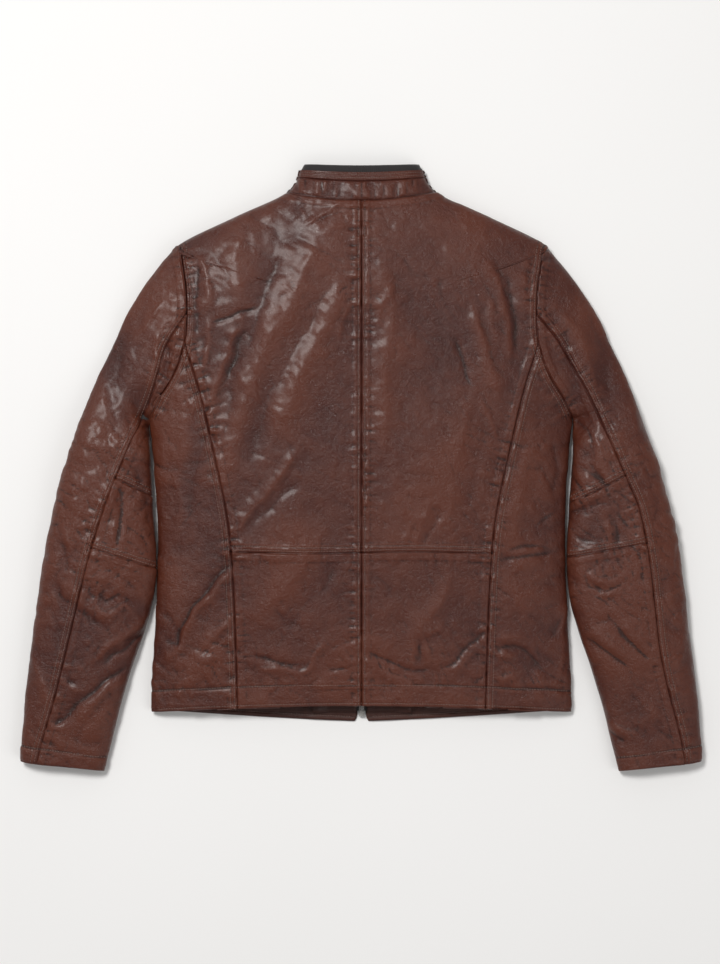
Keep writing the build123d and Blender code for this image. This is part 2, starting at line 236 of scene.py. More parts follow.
def line_distance(x, y, points):
    """Distance to a polyline, how far along it the nearest point is, and which side (left is positive)."""
    best = np.full(x.shape, 1e9)
    where = np.zeros(x.shape)
    hand = np.zeros(x.shape)
    run = 0.0
    for (x0, y0), (x1, y1) in zip(points[:-1], points[1:]):
        length = math.hypot(x1 - x0, y1 - y0)
        dx, dy = (x1 - x0) / length, (y1 - y0) / length
        t = np.clip((x - x0) * dx + (y - y0) * dy, 0, length)
        gap = np.hypot(x - x0 - t * dx, y - y0 - t * dy)
        nearer = gap < best
        best = np.where(nearer, gap, best)
        where = np.where(nearer, run + t, where)
        hand = np.where(nearer, np.sign((y - y0) * dx - (x - x0) * dy), hand)
        run += length
    return best, where, hand, run


def length_along(points):
    """The points as an array, and how far along the line each of them is."""
    p = np.array(points, float)
    return p, np.concatenate([[0], np.cumsum(np.hypot(*np.diff(p, axis=0).T))])


def smooth_line(points, step=6.0):
    """The same line as closely spaced points on a smooth curve through the given ones."""
    p = np.array(points, float)
    if len(p) < 3:
        count = max(2, int(np.hypot(*(p[-1] - p[0])) / step))
        return [tuple(p[0] + (p[-1] - p[0]) * k / count) for k in range(count + 1)]
    p = np.vstack([2 * p[0] - p[1], p, 2 * p[-1] - p[-2]])
    out = []
    for i in range(1, len(p) - 2):
        count = max(2, int(np.hypot(*(p[i + 1] - p[i])) / step))
        for k in range(count):
            t = k / count
            out.append(tuple(0.5 * ((2 * p[i]) + (p[i + 1] - p[i - 1]) * t
                             + (2 * p[i - 1] - 5 * p[i] + 4 * p[i + 1] - p[i + 2]) * t**2
                             + (3 * p[i] - p[i - 1] - 3 * p[i + 1] + p[i + 2]) * t**3)))
    out.append(tuple(p[-2]))
    return out


# %% [markdown]
# These are the seams, as a pattern cutter would draw them on the laid-out jacket. The body's are drawn for
# the left and flipped for the right. The sleeves have a set for each side, because they don't lie quite
# alike, and both sets are drawn on the left.

# %% Seam lines
HEM_STITCH = 27.0
WAIST_Y = -107.5


def hem_y(x):
    """Back hem: a little lower towards the sides."""
    return -303.0 - 9.0 * (np.abs(x) / 265.0) ** 2


def front_hem_y(x):
    """Front hem, which shows below the back one."""
    return -325.0 + 14.0 * (np.abs(x) / 250.0) ** 1.3


def neck_y(x):
    """Back neck seam."""
    return 340.0 + 12.0 * (np.abs(x) / 97.0) ** 2


ARMHOLE = [
    (-232, 283), (-227, 253), (-223.4, 228), (-222, 196), (-223, 172), (-224.6, 157), (-232.3, 132),
    (-243, 110), (-258, 87), (-268, 67),
]
PRINCESS = [
    (-224.6, 157), (-205, 93), (-187.5, 18), (-173, -50), (-165.8, -107.5), (-161, -200), (-158, -310),
]
SLEEVE_SEAM = {
    -1: [(-222, 196), (-247, 158), (-258, 123), (-270, 87), (-302.7, 10), (-328, -54), (-347.5, -118),
         (-366.7, -195), (-392, -297), (-409, -355), (-416, -385)],
    1: [(-222, 196), (-250, 162), (-272, 123), (-292, 87), (-334, -8), (-353, -54), (-365.7, -118),
        (-372, -169), (-382, -246), (-401, -322), (-409, -355), (-413, -385)],
}
ELBOWS = {
    -1: [[(-420, 42), (-328, -5), (-262, -38), (-240, -50)],
         [(-440, -78), (-352, -99), (-266, -127), (-240, -136)]],
    1: [[(-440, 50), (-330, -12), (-262, -47), (-240, -58)],
        [(-440, -76), (-364, -95), (-266, -113), (-240, -119)]],
}


def flipped(points):
    """The same points on the other side."""
    return [(-x, y) for x, y in points]


def cut_line(points, low_y, high_y):
    """The part of a smooth seam between two heights, from low to high."""
    line = np.array(smooth_line(points, 3.0))
    line = line[np.argsort(line[:, 1])]
    ys = np.linspace(low_y, high_y, 60)
    return list(zip(np.interp(ys, line[:, 1], line[:, 0]), ys))


# %% [markdown]
# The folds come next. A broad soft ridge catches the light in a long band, and a narrow valley beside it
# stays dark. Each fold is a height, a width and a line, all in millimetres, and each fades out towards
# its two ends.

# %% Folds
FOLD_STRENGTH = 0.8
BODY_FOLDS = [
    (-2.4, 3.2, [(-189, 182), (-175, 188), (-156, 197), (-132, 204)]),
    (3.0, 15, [(-148, 298), (-158, 264), (-154, 218)]),
    (4.2, 17, [(-56, 298), (-75, 241), (-109, 177), (-135, 125), (-149, 81), (-166, 23), (-179, -28)]),
    (-3.0, 11, [(-107, 279), (-120, 228), (-140, 177), (-161, 123), (-171, 61)]),
    (3.2, 15, [(-12, 247), (-38, 192), (-71, 128), (-92, 81), (-109, 36)]),
    (-3.0, 13, [(-40, 228), (-76, 166), (-104, 113), (-127, 55), (-143, -3)]),
    (2.4, 5.5, [(-154, 182), (-164, 156), (-177, 125), (-189, 93), (-193, 72)]),
    (-2.0, 4, [(-148, 177), (-158, 145), (-170, 110)]),
    (2.0, 5, [(-216, 276), (-200, 256), (-194, 218), (-198, 192)]),
    (1.8, 4, [(-193, 189), (-195, 157), (-202, 125)]),
    (-1.5, 4, [(-209, 264), (-208, 215), (-209, 164)]),
    (1.3, 3, [(-19, 339), (-45, 324), (-74, 307)]),
    (-1.3, 3, [(-19, 325), (-43, 320), (-60, 312)]),
    (-1.4, 2.5, [(-11, 230), (-22, 224), (-30, 216)]),
    (1.6, 4, [(-12, 215), (-21, 189), (-28, 157)]),
    (2.8, 6, [(-83, 23), (-109, -19), (-135, -50), (-159, -81)]),
    (-2.2, 8, [(-75, -15), (-102, -35), (-125, -60), (-147, -87)]),
    (3.2, 13, [(-45, -73), (-63, -102), (-86, -133), (-115, -169), (-139, -197)]),
    (-2.0, 9, [(-30, -118), (-53, -156), (-79, -188), (-104, -220)]),
    (1.8, 3, [(-134, -256), (-98, -255), (-79, -260), (-67, -251), (-61, -236), (-45, -220)]),
    (-2.0, 4, [(-145, -239), (-117, -243), (-89, -251), (-72, -246)]),
    (-1.3, 3, [(-47, -253), (-21, -255), (-12, -248)]),
    (1.2, 3, [(-53, -259), (-34, -261), (-15, -252)]),
    (-3.8, 4, [(-164, -118), (-189, -146), (-211, -174), (-225, -201), (-236, -223), (-249, -221)]),
    (3.2, 6.5, [(-163, -127), (-190, -159), (-212, -189), (-228, -221), (-250, -248)]),
    (2.0, 5, [(-167, -192), (-182, -210), (-203, -228)]),
    (-1.6, 5, [(-167, -216), (-191, -227), (-209, -243)]),
    (2.8, 13, [(-171, -233), (-199, -248), (-220, -274), (-235, -297)]),
    (-0.7, 1.6, [(-237, -78), (-220, -59), (-198, -38)]),
    (3.0, 13, [(20, 269), (34, 221), (39, 177), (30, 138), (30, 74), (26, 17)]),
    (1.6, 5, [(43, 241), (31, 209), (17, 177)]),
    (2.6, 6, [(157, 264), (173, 234), (182, 192), (188, 131)]),
    (1.8, 5, [(159, 221), (166, 189), (170, 157)]),
    (3.0, 7, [(139, 209), (152, 166), (162, 133), (177, 92)]),
    (-2.4, 4, [(116, 169), (126, 138), (140, 100)]),
    (1.8, 6, [(213, 269), (205, 234), (203, 200)]),
    (-2.2, 6, [(185, 247), (191, 196), (196, 151)]),
    (-2.5, 32, [(100, 311), (100, 215), (85, 87)]),
    (1.4, 4, [(149, 90), (164, 61), (172, 29)]),
    (2.0, 8, [(139, 93), (129, 49), (120, 8)]),
    (-1.6, 8, [(159, 49), (144, -3), (134, -54)]),
    (2.0, 5, [(88, -41), (75, -77), (60, -101)]),
    (1.6, 4, [(68, -67), (49, -96)]),
    (-1.6, 5, [(100, -47), (88, -79), (75, -102)]),
    (1.4, 4, [(116, -22), (113, -47), (106, -67)]),
    (3.0, 9, [(116, -137), (100, -166), (80, -195), (67, -223)]),
    (2.2, 3.5, [(100, -202), (89, -206), (80, -212)]),
    (2.2, 3, [(71, -223), (67, -239), (66, -256)]),
    (2.0, 3, [(81, -220), (84, -236), (86, -251)]),
    (-2.0, 3, [(75, -220), (75, -236), (76, -251)]),
    (-2.2, 3.5, [(6, -233), (25, -242), (47, -251), (66, -259), (88, -256)]),
    (-2.6, 3.2, [(161, -204), (147, -219), (130, -234), (117, -247), (98, -255)]),
    (2.0, 5, [(147, -233), (131, -246), (113, -259)]),
    (-1.8, 3, [(161, -257), (153, -269), (144, -279)]),
    (1.2, 2.5, [(93, -256), (95, -270), (89, -280)]),
    (1.2, 4, [(11, -248), (24, -256), (39, -266)]),
    (-2.2, 3.5, [(186, -108), (205, -100), (228, -101), (246, -106)]),
    (2.4, 3.5, [(200, -109), (216, -105), (235, -102)]),
    (-2.4, 4, [(172, -120), (196, -115), (222, -111), (249, -108)]),
    (1.4, 7, [(184, -133), (205, -120), (235, -118)]),
    (-1.4, 2.5, [(220, -78), (232, -67), (249, -54)]),
    (1.8, 9, [(235, -137), (216, -159), (188, -179)]),
    (-2.8, 4.5, [(172, -232), (188, -228), (202, -229), (217, -241), (232, -259)]),
    (2.2, 4, [(172, -239), (184, -239), (195, -241)]),
    (2.0, 6, [(175, -220), (188, -215), (203, -215)]),
    (1.8, 4, [(172, -266), (181, -269), (193, -264)]),
    (-1.6, 4, [(254, -182), (248, -201), (240, -220)]),
    (1.8, 5, [(258, -169), (254, -220), (258, -271)]),
    (2.0, 8, [(222, 36), (205, -15), (193, -79)]),
    (-1.6, 5, [(244, 36), (249, -3), (245, -41)]),
    (1.6, 6, [(-213, 87), (-223, 36), (-231, -15)]),
    (-1.8, 6, [(-199, 61), (-212, -3), (-220, -67)]),
    (1.2, 5, [(-239, -3), (-228, -41), (-235, -92)]),
]
LEFT_SLEEVE_FOLDS = [
    (-2.2, 6, [(-367, 35), (-350, 23), (-335, 20)]),
    (2.6, 6, [(-299, 87), (-287, 49), (-272, 8)]),
    (-2.6, 5, [(-284, 81), (-271, 55), (-262, 26)]),
    (2.2, 4, [(-317, -20), (-310, -60), (-316, -102)]),
    (-2.6, 3.5, [(-305, -23), (-304, -60), (-310, -99)]),
    (1.8, 4, [(-298, -61), (-301, -82), (-300, -102)]),
    (-2.0, 4, [(-286, -3), (-275, -41), (-268, -79)]),
    (1.6, 3, [(-348, -136), (-330, -143), (-339, -172), (-322, -187), (-301, -174), (-289, -189)]),
    (-1.7, 3.5, [(-337, -154), (-324, -169), (-309, -161), (-291, -172)]),
    (-1.8, 4, [(-335, -124), (-309, -136), (-284, -156)]),
    (2.8, 5.5, [(-276, -192), (-307, -218), (-340, -247)]),
    (-3.0, 4, [(-273, -207), (-301, -228), (-330, -251)]),
    (-3.8, 4.5, [(-294, -252), (-322, -271), (-350, -289), (-371, -312), (-399, -330)]),
    (3.0, 7, [(-296, -266), (-322, -285), (-345, -302), (-365, -325)]),
    (1.8, 5, [(-419, -233), (-406, -274), (-396, -307)]),
    (1.6, 5, [(-386, -266), (-363, -284), (-348, -278)]),
    (1.8, 7, [(-312, -297), (-332, -317), (-345, -342)]),
    (-2.0, 6, [(-386, -67), (-376, -118), (-383, -182)]),
    (2.4, 9, [(-358, 177), (-330, 113), (-324, 61)]),
    (-2.0, 8, [(-309, 215), (-307, 157), (-312, 100)]),
    (2.4, 8, [(-271, 253), (-296, 202), (-319, 151)]),
    (1.8, 5, [(-250, 215), (-271, 187), (-289, 164)]),
    (-3.2, 5, [(-243, 170), (-248, 132), (-253, 97)]),
    (2.4, 5, [(-254, 177), (-263, 136), (-268, 93)]),
    (1.8, 4, [(-237, 177), (-239, 138), (-243, 100)]),
    (2.2, 10, [(-383, -3), (-363, -41), (-373, -105)]),
    (-1.8, 6, [(-401, -169), (-386, -207), (-388, -246)]),
]
RIGHT_SLEEVE_FOLDS = [
    (-3.6, 5, [(257, 177), (267, 132), (278, 92)]),
    (2.4, 6, [(273, 177), (290, 136), (303, 87)]),
    (2.2, 6, [(244, 209), (260, 187), (286, 170)]),
    (2.4, 9, [(305, 215), (328, 157), (337, 100)]),
    (-2.2, 7, [(290, 202), (308, 151), (316, 87)]),
    (2.0, 5, [(292, 49), (303, 23), (313, 8)]),
    (-2.4, 5, [(285, 23), (292, 0), (303, -13)]),
    (-2.2, 4.5, [(264, -58), (285, -54), (305, -46), (321, -49)]),
    (2.0, 6, [(267, -41), (285, -38), (305, -32)]),
    (2.2, 3.2, [(309, -63), (316, -82), (318, -109)]),
    (-1.8, 3, [(319, -61), (326, -86), (327, -105)]),
    (-1.8, 3.5, [(323, -55), (333, -68), (345, -81)]),
    (2.2, 4, [(282, -131), (298, -140), (313, -145), (326, -140)]),
    (-2.0, 3.5, [(287, -142), (305, -155), (321, -154), (333, -143)]),
    (1.8, 4, [(292, -156), (310, -163), (328, -154)]),
    (1.6, 3, [(355, -125), (351, -136), (348, -147)]),
    (-2.6, 4, [(287, -215), (305, -228), (322, -241), (342, -255)]),
    (2.4, 6, [(292, -205), (313, -220), (333, -238)]),
    (-2.6, 4, [(321, -195), (333, -212), (349, -230), (369, -246)]),
    (2.2, 6, [(333, -192), (349, -212), (364, -230)]),
    (1.8, 3, [(390, -164), (400, -157), (410, -152)]),
    (1.6, 3, [(397, -251), (404, -244), (410, -238)]),
    (-2.2, 3.5, [(316, -335), (326, -343), (337, -349)]),
    (2.0, 5, [(321, -328), (333, -335), (349, -338)]),
    (-2.0, 6, [(363, -15), (377, -67), (382, -118)]),
    (2.4, 10, [(376, 36), (392, -28), (403, -92)]),
    (1.8, 8, [(403, -169), (408, -220), (397, -297)]),
    (1.6, 7, [(356, -284), (369, -310), (367, -342)]),
]


def fold_relief(x, y, folds):
    """Height of all the folds together at each point, in millimetres."""
    total = np.zeros(x.shape)
    wobble = noise(x / 23, y / 23, 41) * 3.0
    for height, width, points in folds:
        reach = 3.2 * width + 5
        px, py = zip(*points)
        near = (x > min(px) - reach) & (x < max(px) + reach) & (y > min(py) - reach) & (y < max(py) + reach)
        if not near.any():
            continue
        xs, ys = x[near], y[near]
        shift = wobble[near]
        gap, where, hand, run = line_distance(xs + shift, ys - shift * 0.6, smooth_line(points, 8))
        end = ramp(0, min(0.45 * run, 3.5 * width + 6), np.minimum(where, run - where) + 1.2 * width)
        side = 1.15 * width * np.where(hand > 0, 0.75, 1.2)
        total[near] += FOLD_STRENGTH * height * np.exp(-((gap / side) ** 1.6)) * end
    return total


# %% [markdown]
# Leather that is sewn draws up. Beside each seam there is a groove, then a slightly raised strip where
# the turned edges lie under the leather, a small dent along each row of stitches, and little puckers
# that run away from the seam and die out.

# %% Seam relief
GROOVE_DEPTH, GROOVE_WIDTH = 1.1, 1.2
ALLOWANCE_RISE = 0.8
ROW_DENT, ROW_WIDTH = 0.9, 0.95
SEAM_REACH = 45


def seam_relief(x, y, seams):
    """Height of the grooves, raised strips, stitch dents and puckers of these seams."""
    total = np.zeros(x.shape)
    for number, (points, rows, pucker) in enumerate(seams):
        px, py = zip(*points)
        near = ((x > min(px) - SEAM_REACH) & (x < max(px) + SEAM_REACH)
                & (y > min(py) - SEAM_REACH) & (y < max(py) + SEAM_REACH))
        if not near.any():
            continue
        gap, where, hand, run = line_distance(x[near], y[near], points)
        signed = gap * hand
        part = -GROOVE_DEPTH * np.exp(-((gap / GROOVE_WIDTH) ** 2))
        part = part + ALLOWANCE_RISE * ramp(0.6, 2.6, gap) * (1 - ramp(8.5, 11.5, gap))
        for row in rows:
            part -= ROW_DENT * np.exp(-(((signed - row) / ROW_WIDTH) ** 2))
        wave = noise(where / 6.5 + 0.5 * noise(where / 30, gap / 30, 3), gap / 26.0 * hand, 60 + number)
        fine = noise(where / 3.4, gap / 12.0 * hand, 80 + number)
        patch = 0.55 + 0.6 * noise(where / 55, hand * 3.0, 90 + number)
        fade = ramp(0.3, 3.0, gap) * np.exp(-((gap / 17.0) ** 2))
        part += pucker * patch * fade * (1.5 * wave + 0.8 * fine)
        total[near] += part
    return total


CENTRE = [(0.0, y) for y in np.linspace(-310, 345, 80)]
WAIST = [(x, WAIST_Y + 1.2 * math.sin(x / 40)) for x in np.linspace(-166, 166, 60)]
HEM_ROW = [(x, float(hem_y(x)) + HEM_STITCH) for x in np.linspace(-268, 268, 90)]
NECK_SEAM = [(x, float(neck_y(x))) for x in np.linspace(-97, 97, 50)]
BODY_SEAMS = [
    (CENTRE, (4.2, -4.2), 1.25),
    (smooth_line(PRINCESS), (-3.0, -8.5), 1.3),
    (smooth_line(flipped(PRINCESS)), (3.0, 8.5), 1.3),
    (smooth_line(ARMHOLE), (3.0, 8.0), 1.0),
    (smooth_line(flipped(ARMHOLE)), (-3.0, -8.0), 1.0),
    (WAIST, (3.0, 7.5), 0.6),
    (NECK_SEAM, (), 0.35),
]


def body_relief(x, y):
    """Everything that rises or sinks on the jacket's back."""
    low = ramp(-180, -290, y) * (1 - ramp(-276, -282, y))
    side = ramp(160, 240, np.abs(x)) * ramp(150, 60, y)
    busy = 0.55 + 0.75 * low + 0.35 * side
    soft = 2.2 * noise(x / 95, y / 150, 11) + 1.1 * noise(x / 48, y / 75, 12)
    crease = 2.8 * crumple(x, y, 44, 21, 1.15, 1.9) + 1.5 * crumple(x, y, 19, 31, 0.5, 1.5)
    dents = 0.30 * noise(x / 9, y / 9, 14) + 0.28 * crumple(x, y, 8, 17, 0.9, 1.3)
    total = soft + busy * crease + dents + fold_relief(x, y, BODY_FOLDS) + seam_relief(x, y, BODY_SEAMS)
    gap, where, hand, run = line_distance(x, y, HEM_ROW)
    below = hand < 0
    total += np.where(below, 0.9 * ramp(0, 2.5, gap), 0) - 0.9 * np.exp(-((gap / 1.1) ** 2))
    gather = 0.5 * noise(where / 7, gap / 20, 15) + 0.25 * noise(where / 3, 0, 16)
    total += ramp(14, 1, gap) * ramp(0.3, 2, gap) * gather
    edge = y - hem_y(x)
    return total - 0.6 * np.exp(-(((edge - 3.5) / 1.0) ** 2)) - 1.0 * ramp(2.5, 0, edge)


# %% [markdown]
# All soft pieces are made the same way. An operator makes a flat grid, which is then laid over the
# surface so that its outer rows follow the seams. The rows stand closer together next to the seams,
# where the leather changes most. After that the points move along their own normals by the relief.

# %% Laying a grid over a surface
SHELL_WALL = 1.6
LINING_WALL = 0.6


def spread(length, step, edge=(0.0, 0.7, 1.5, 2.3, 3.1, 4.1, 5.2, 6.6, 8.3, 10.2)):
    """Places from 0 to 1 along a grid side that is this long, closer together near both ends."""
    start = [e for e in edge if e < 0.3 * length]
    middle = np.linspace(start[-1], length - start[-1], max(2, int((length - 2 * start[-1]) / step)) + 1)
    return np.concatenate([start[:-1], middle, [length - e for e in reversed(start[:-1])]]) / length


def even(length, step):
    """Evenly spaced places from 0 to 1."""
    return np.linspace(0, 1, max(2, int(length / step)) + 1)


def piece_from(name, bm):
    """A new object that holds this bmesh, which is then freed."""
    mesh = bpy.data.meshes.new(name)
    bm.to_mesh(mesh)
    bm.free()
    piece = bpy.data.objects.new(name, mesh)
    scene.collection.objects.link(piece)
    return piece


def laid_grid(name, across, up, surface, outward, relief):
    """A grid whose points are surface(q, r) in millimetres, pushed out by relief(x, y, z, up-facing)."""
    bm = bmesh.new()
    bmesh.ops.create_grid(bm, x_segments=len(across) - 1, y_segments=len(up) - 1, size=1.0)
    flat = np.array([v.co[:2] for v in bm.verts])
    q = across[np.rint((flat[:, 0] + 1) / 2 * (len(across) - 1)).astype(int)]
    r = up[np.rint((flat[:, 1] + 1) / 2 * (len(up) - 1)).astype(int)]
    place = surface(q, r)
    for vert, spot in zip(bm.verts, place):
        vert.co = spot
    bmesh.ops.remove_doubles(bm, verts=bm.verts, dist=0.02)
    bm.normal_update()
    facing = 0.0
    for face in list(bm.faces)[:: max(1, len(bm.faces) // 300)]:
        centre = face.calc_center_median()
        facing += face.normal.dot(centre - Vector(outward(centre))) * face.calc_area()
    if facing < 0:
        bmesh.ops.reverse_faces(bm, faces=bm.faces)
        bm.normal_update()
    spots = np.array([v.co[:] for v in bm.verts])
    normals = np.array([v.normal[:] for v in bm.verts])
    push = relief(spots[:, 0], spots[:, 1], spots[:, 2], normals[:, 2])
    layer, hollow = bm.verts.layers.float.new("rise"), bm.verts.layers.float.new("hollow")
    for vert, value in zip(bm.verts, push):
        vert[layer] = value
    for vert, spot, normal, value in zip(bm.verts, spots, normals, push):
        around = [edge.other_vert(vert)[layer] for edge in vert.link_edges]
        vert[hollow] = sum(around) / len(around) - value
        vert.co = spot + normal * value
        vert.co.z = max(vert.co.z, 0.0)
    for face in bm.faces:
        face.smooth = True
    bmesh.ops.scale(bm, verts=bm.verts, vec=(MM, MM, MM))
    return piece_from(name, bm)


def thicken(piece, millimetres):
    """Gives a sheet its thickness, inwards from the side that shows."""
    wall = piece.modifiers.new("thickness", "SOLIDIFY")
    wall.thickness = millimetres * MM
    wall.offset = -1
    wall.use_even_offset = False
    return piece


def finish_piece(piece, body, nodes, material):
    """Gives a piece its material, ties it to its body (a sleeve's bend tuple only gets its transform baked in)
    and hides the imported nodes that it stands for.
    """
    piece.data.materials.append(material)
    if isinstance(body, tuple):
        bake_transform(piece)
    else:
        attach(piece, body)
    if nodes:
        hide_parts(*nodes)
    area = sum(face.area for face in piece.data.polygons)
    print(piece.name, len(piece.data.polygons), "faces,", round(area, 4), "square metres")


# %% [markdown]
# The leather is a dark reddish brown with a soft shine. Three things are mixed: slow blotches where the
# dye took more or less, a warmer orange-brown on raised parts, partly burnished wear and partly painted
# highlight, and a fine pebbled grain that only shows in the shine. Hollows also get painted shade. The
# grain is a node group, because several leathers use it.

# %% Node helpers and the grain group
def node(tree, kind, **settings):
    """A new node with these properties set."""
    made = tree.nodes.new(kind)
    for key, value in settings.items():
        setattr(made, key, value)
    return made


def ramp_node(tree, source, stops):
    """A colour ramp fed by source."""
    made = node(tree, "ShaderNodeValToRGB")
    elements = made.color_ramp.elements
    elements[0].position, elements[0].color = stops[0][0], (*stops[0][1], 1)
    elements[1].position, elements[1].color = stops[-1][0], (*stops[-1][1], 1)
    for place, colour in stops[1:-1]:
        elements.new(place).color = (*colour, 1)
    tree.links.new(source, made.inputs["Fac"])
    return made.outputs["Color"]


def mix(tree, amount, first, second, blend_type="MIX"):
    """Mixes two colours. Each argument is a socket or a plain value."""
    made = node(tree, "ShaderNodeMix", data_type="RGBA", blend_type=blend_type)
    for socket, value in ((made.inputs[0], amount), (made.inputs[6], first), (made.inputs[7], second)):
        if isinstance(value, bpy.types.NodeSocket):
            tree.links.new(value, socket)
        elif isinstance(value, tuple):
            socket.default_value = (*value, 1)
        else:
            socket.default_value = value
    return made.outputs[2]


def maths(tree, operation, *values, clamp=False):
    """A Math node. Each value is a socket or a number."""
    made = node(tree, "ShaderNodeMath", operation=operation, use_clamp=clamp)
    for socket, value in zip(made.inputs, values):
        if isinstance(value, bpy.types.NodeSocket):
            tree.links.new(value, socket)
        else:
            socket.default_value = value
    return made.outputs[0]


def noise_node(tree, vector, scale, detail=2.0, roughness=0.5):
    """Fractal noise at this scale, in cells per metre."""
    made = node(tree, "ShaderNodeTexNoise")
    made.inputs["Scale"].default_value = scale
    made.inputs["Detail"].default_value = detail
    made.inputs["Roughness"].default_value = roughness
    tree.links.new(vector, made.inputs["Vector"])
    return made.outputs["Fac"]


def new_material(name):
    """A material, with its tree, its shader and the place on the object that patterns read."""
    made = bpy.data.materials.new(name)
    made.use_nodes = True
    tree = made.node_tree
    return made, tree, tree.nodes["Principled BSDF"], node(tree, "ShaderNodeTexCoord").outputs["Object"]


def bump(tree, shader, height, strength, distance):
    """Lets this height lean the shader's normal."""
    dents = node(tree, "ShaderNodeBump")
    dents.inputs["Strength"].default_value = strength
    dents.inputs["Distance"].default_value = distance
    tree.links.new(height, dents.inputs["Height"])
    tree.links.new(dents.outputs["Normal"], shader.inputs["Normal"])


grain = bpy.data.node_groups.new("leather_grain", "ShaderNodeTree")
grain.interface.new_socket("Vector", in_out="INPUT", socket_type="NodeSocketVector")
for output in ("Pebbles", "Creases", "Wear", "Blotch"):
    grain.interface.new_socket(output, in_out="OUTPUT", socket_type="NodeSocketFloat")
g_in, g_out = node(grain, "NodeGroupInput"), node(grain, "NodeGroupOutput")
pebble = node(grain, "ShaderNodeTexVoronoi", feature="DISTANCE_TO_EDGE")
pebble.inputs["Scale"].default_value = 620
grain.links.new(g_in.outputs["Vector"], pebble.inputs["Vector"])
cells = maths(grain, "MINIMUM", maths(grain, "MULTIPLY", pebble.outputs["Distance"], 5.0), 1.0)
mottle = noise_node(grain, g_in.outputs["Vector"], 210, 4.0, 0.6)
pebbles = maths(grain, "ADD", maths(grain, "MULTIPLY", cells, 0.5), maths(grain, "MULTIPLY", mottle, 0.9))
grain.links.new(pebbles, g_out.inputs["Pebbles"])
wrinkle = noise_node(grain, g_in.outputs["Vector"], 85, 5.0, 0.62)
ridge = maths(grain, "ABSOLUTE", maths(grain, "SUBTRACT", wrinkle, 0.5))
creases = maths(grain, "MINIMUM", maths(grain, "MULTIPLY", ridge, 9.0), 1.0)
grain.links.new(creases, g_out.inputs["Creases"])
grain.links.new(noise_node(grain, g_in.outputs["Vector"], 42, 5.0, 0.65), g_out.inputs["Wear"])
grain.links.new(noise_node(grain, g_in.outputs["Vector"], 7.5, 3.0, 0.55), g_out.inputs["Blotch"])


# %% [markdown]
# Each leather reads the grain group, and the "rise" and "hollow" that were stored while the folds were
# made: raised parts are painted lighter and low ones darker, hollows get painted shade, and crests the
# warm colour, which is partly burnished wear and partly painted highlight.

# %% Leather
def leather(name, dark, main, burnish_and_highlight, rough, grain_strength):
    """Semi-gloss leather with grain, dye blotches, painted shade in hollows, and crests that are partly
    burnished and partly painted highlight.
    """
    made, tree, shader, place = new_material(name)
    skin = node(tree, "ShaderNodeGroup", node_tree=grain)
    tree.links.new(place, skin.inputs["Vector"])
    # Painted light and shade: raised relief pushes the tone towards the lighter colours, and low relief towards
    # the darker ones.
    rise = node(tree, "ShaderNodeAttribute", attribute_name="rise").outputs["Fac"]
    high = maths(tree, "MULTIPLY_ADD", rise, 0.11, 0.42)
    tone = maths(tree, "ADD", maths(tree, "MULTIPLY", high, 0.55),
                 maths(tree, "MULTIPLY", skin.outputs["Blotch"], 0.62))
    tone = maths(tree, "ADD", tone, maths(tree, "MULTIPLY", skin.outputs["Wear"], 0.22), clamp=True)
    colour = ramp_node(tree, tone, [(0.36, dark), (0.60, main), (0.86, burnish_and_highlight)])
    hollow = node(tree, "ShaderNodeAttribute", attribute_name="hollow").outputs["Fac"]
    # Crests are mixed towards the warm colour: partly burnished wear, partly painted highlight.
    crest = maths(tree, "MULTIPLY", hollow, -3.2, clamp=True)
    colour = mix(tree, maths(tree, "MULTIPLY", crest, 0.7), colour, burnish_and_highlight)
    # Painted shade: hollows are darkened towards a much darker brown.
    deep = maths(tree, "MULTIPLY", maths(tree, "SUBTRACT", hollow, 0.04), 3.5, clamp=True)
    colour = mix(tree, maths(tree, "MULTIPLY", deep, 0.8), colour, tuple(c * 0.4 for c in dark))
    flecks = maths(tree, "MULTIPLY", maths(tree, "SUBTRACT", skin.outputs["Pebbles"], 0.62), 0.5, clamp=True)
    colour = mix(tree, flecks, colour, burnish_and_highlight)
    tree.links.new(colour, shader.inputs["Base Color"])
    shine = maths(tree, "MULTIPLY_ADD", skin.outputs["Wear"], 0.30, rough - 0.15)
    tree.links.new(shine, shader.inputs["Roughness"])
    shader.inputs["Specular IOR Level"].default_value = 0.27
    shader.inputs["Coat Weight"].default_value = 0.12
    shader.inputs["Coat Roughness"].default_value = 0.22
    height = maths(tree, "ADD", maths(tree, "MULTIPLY", skin.outputs["Pebbles"], 0.4),
                   maths(tree, "MULTIPLY", skin.outputs["Wear"], 2.4))
    height = maths(tree, "ADD", height, maths(tree, "MULTIPLY", skin.outputs["Creases"], 0.55))
    bump(tree, shader, height, grain_strength, 0.0009)
    return made


SHELL = leather("brown_leather", (0.030, 0.0068, 0.0048), (0.050, 0.0110, 0.0070), (0.092, 0.0230, 0.0115),
                0.32, 0.75)
INNER = leather("facing_leather", (0.022, 0.0070, 0.0055), (0.044, 0.0125, 0.0085), (0.070, 0.0210, 0.0120),
                0.42, 0.55)


# %% [markdown]
# Thread, knit, lining, zip tape and dull metal are simpler, but each still has its own fine pattern, at
# the size of real yarns and weaves.

# %% Thread, cloths and metal
BANDS_PER_METRE = 314


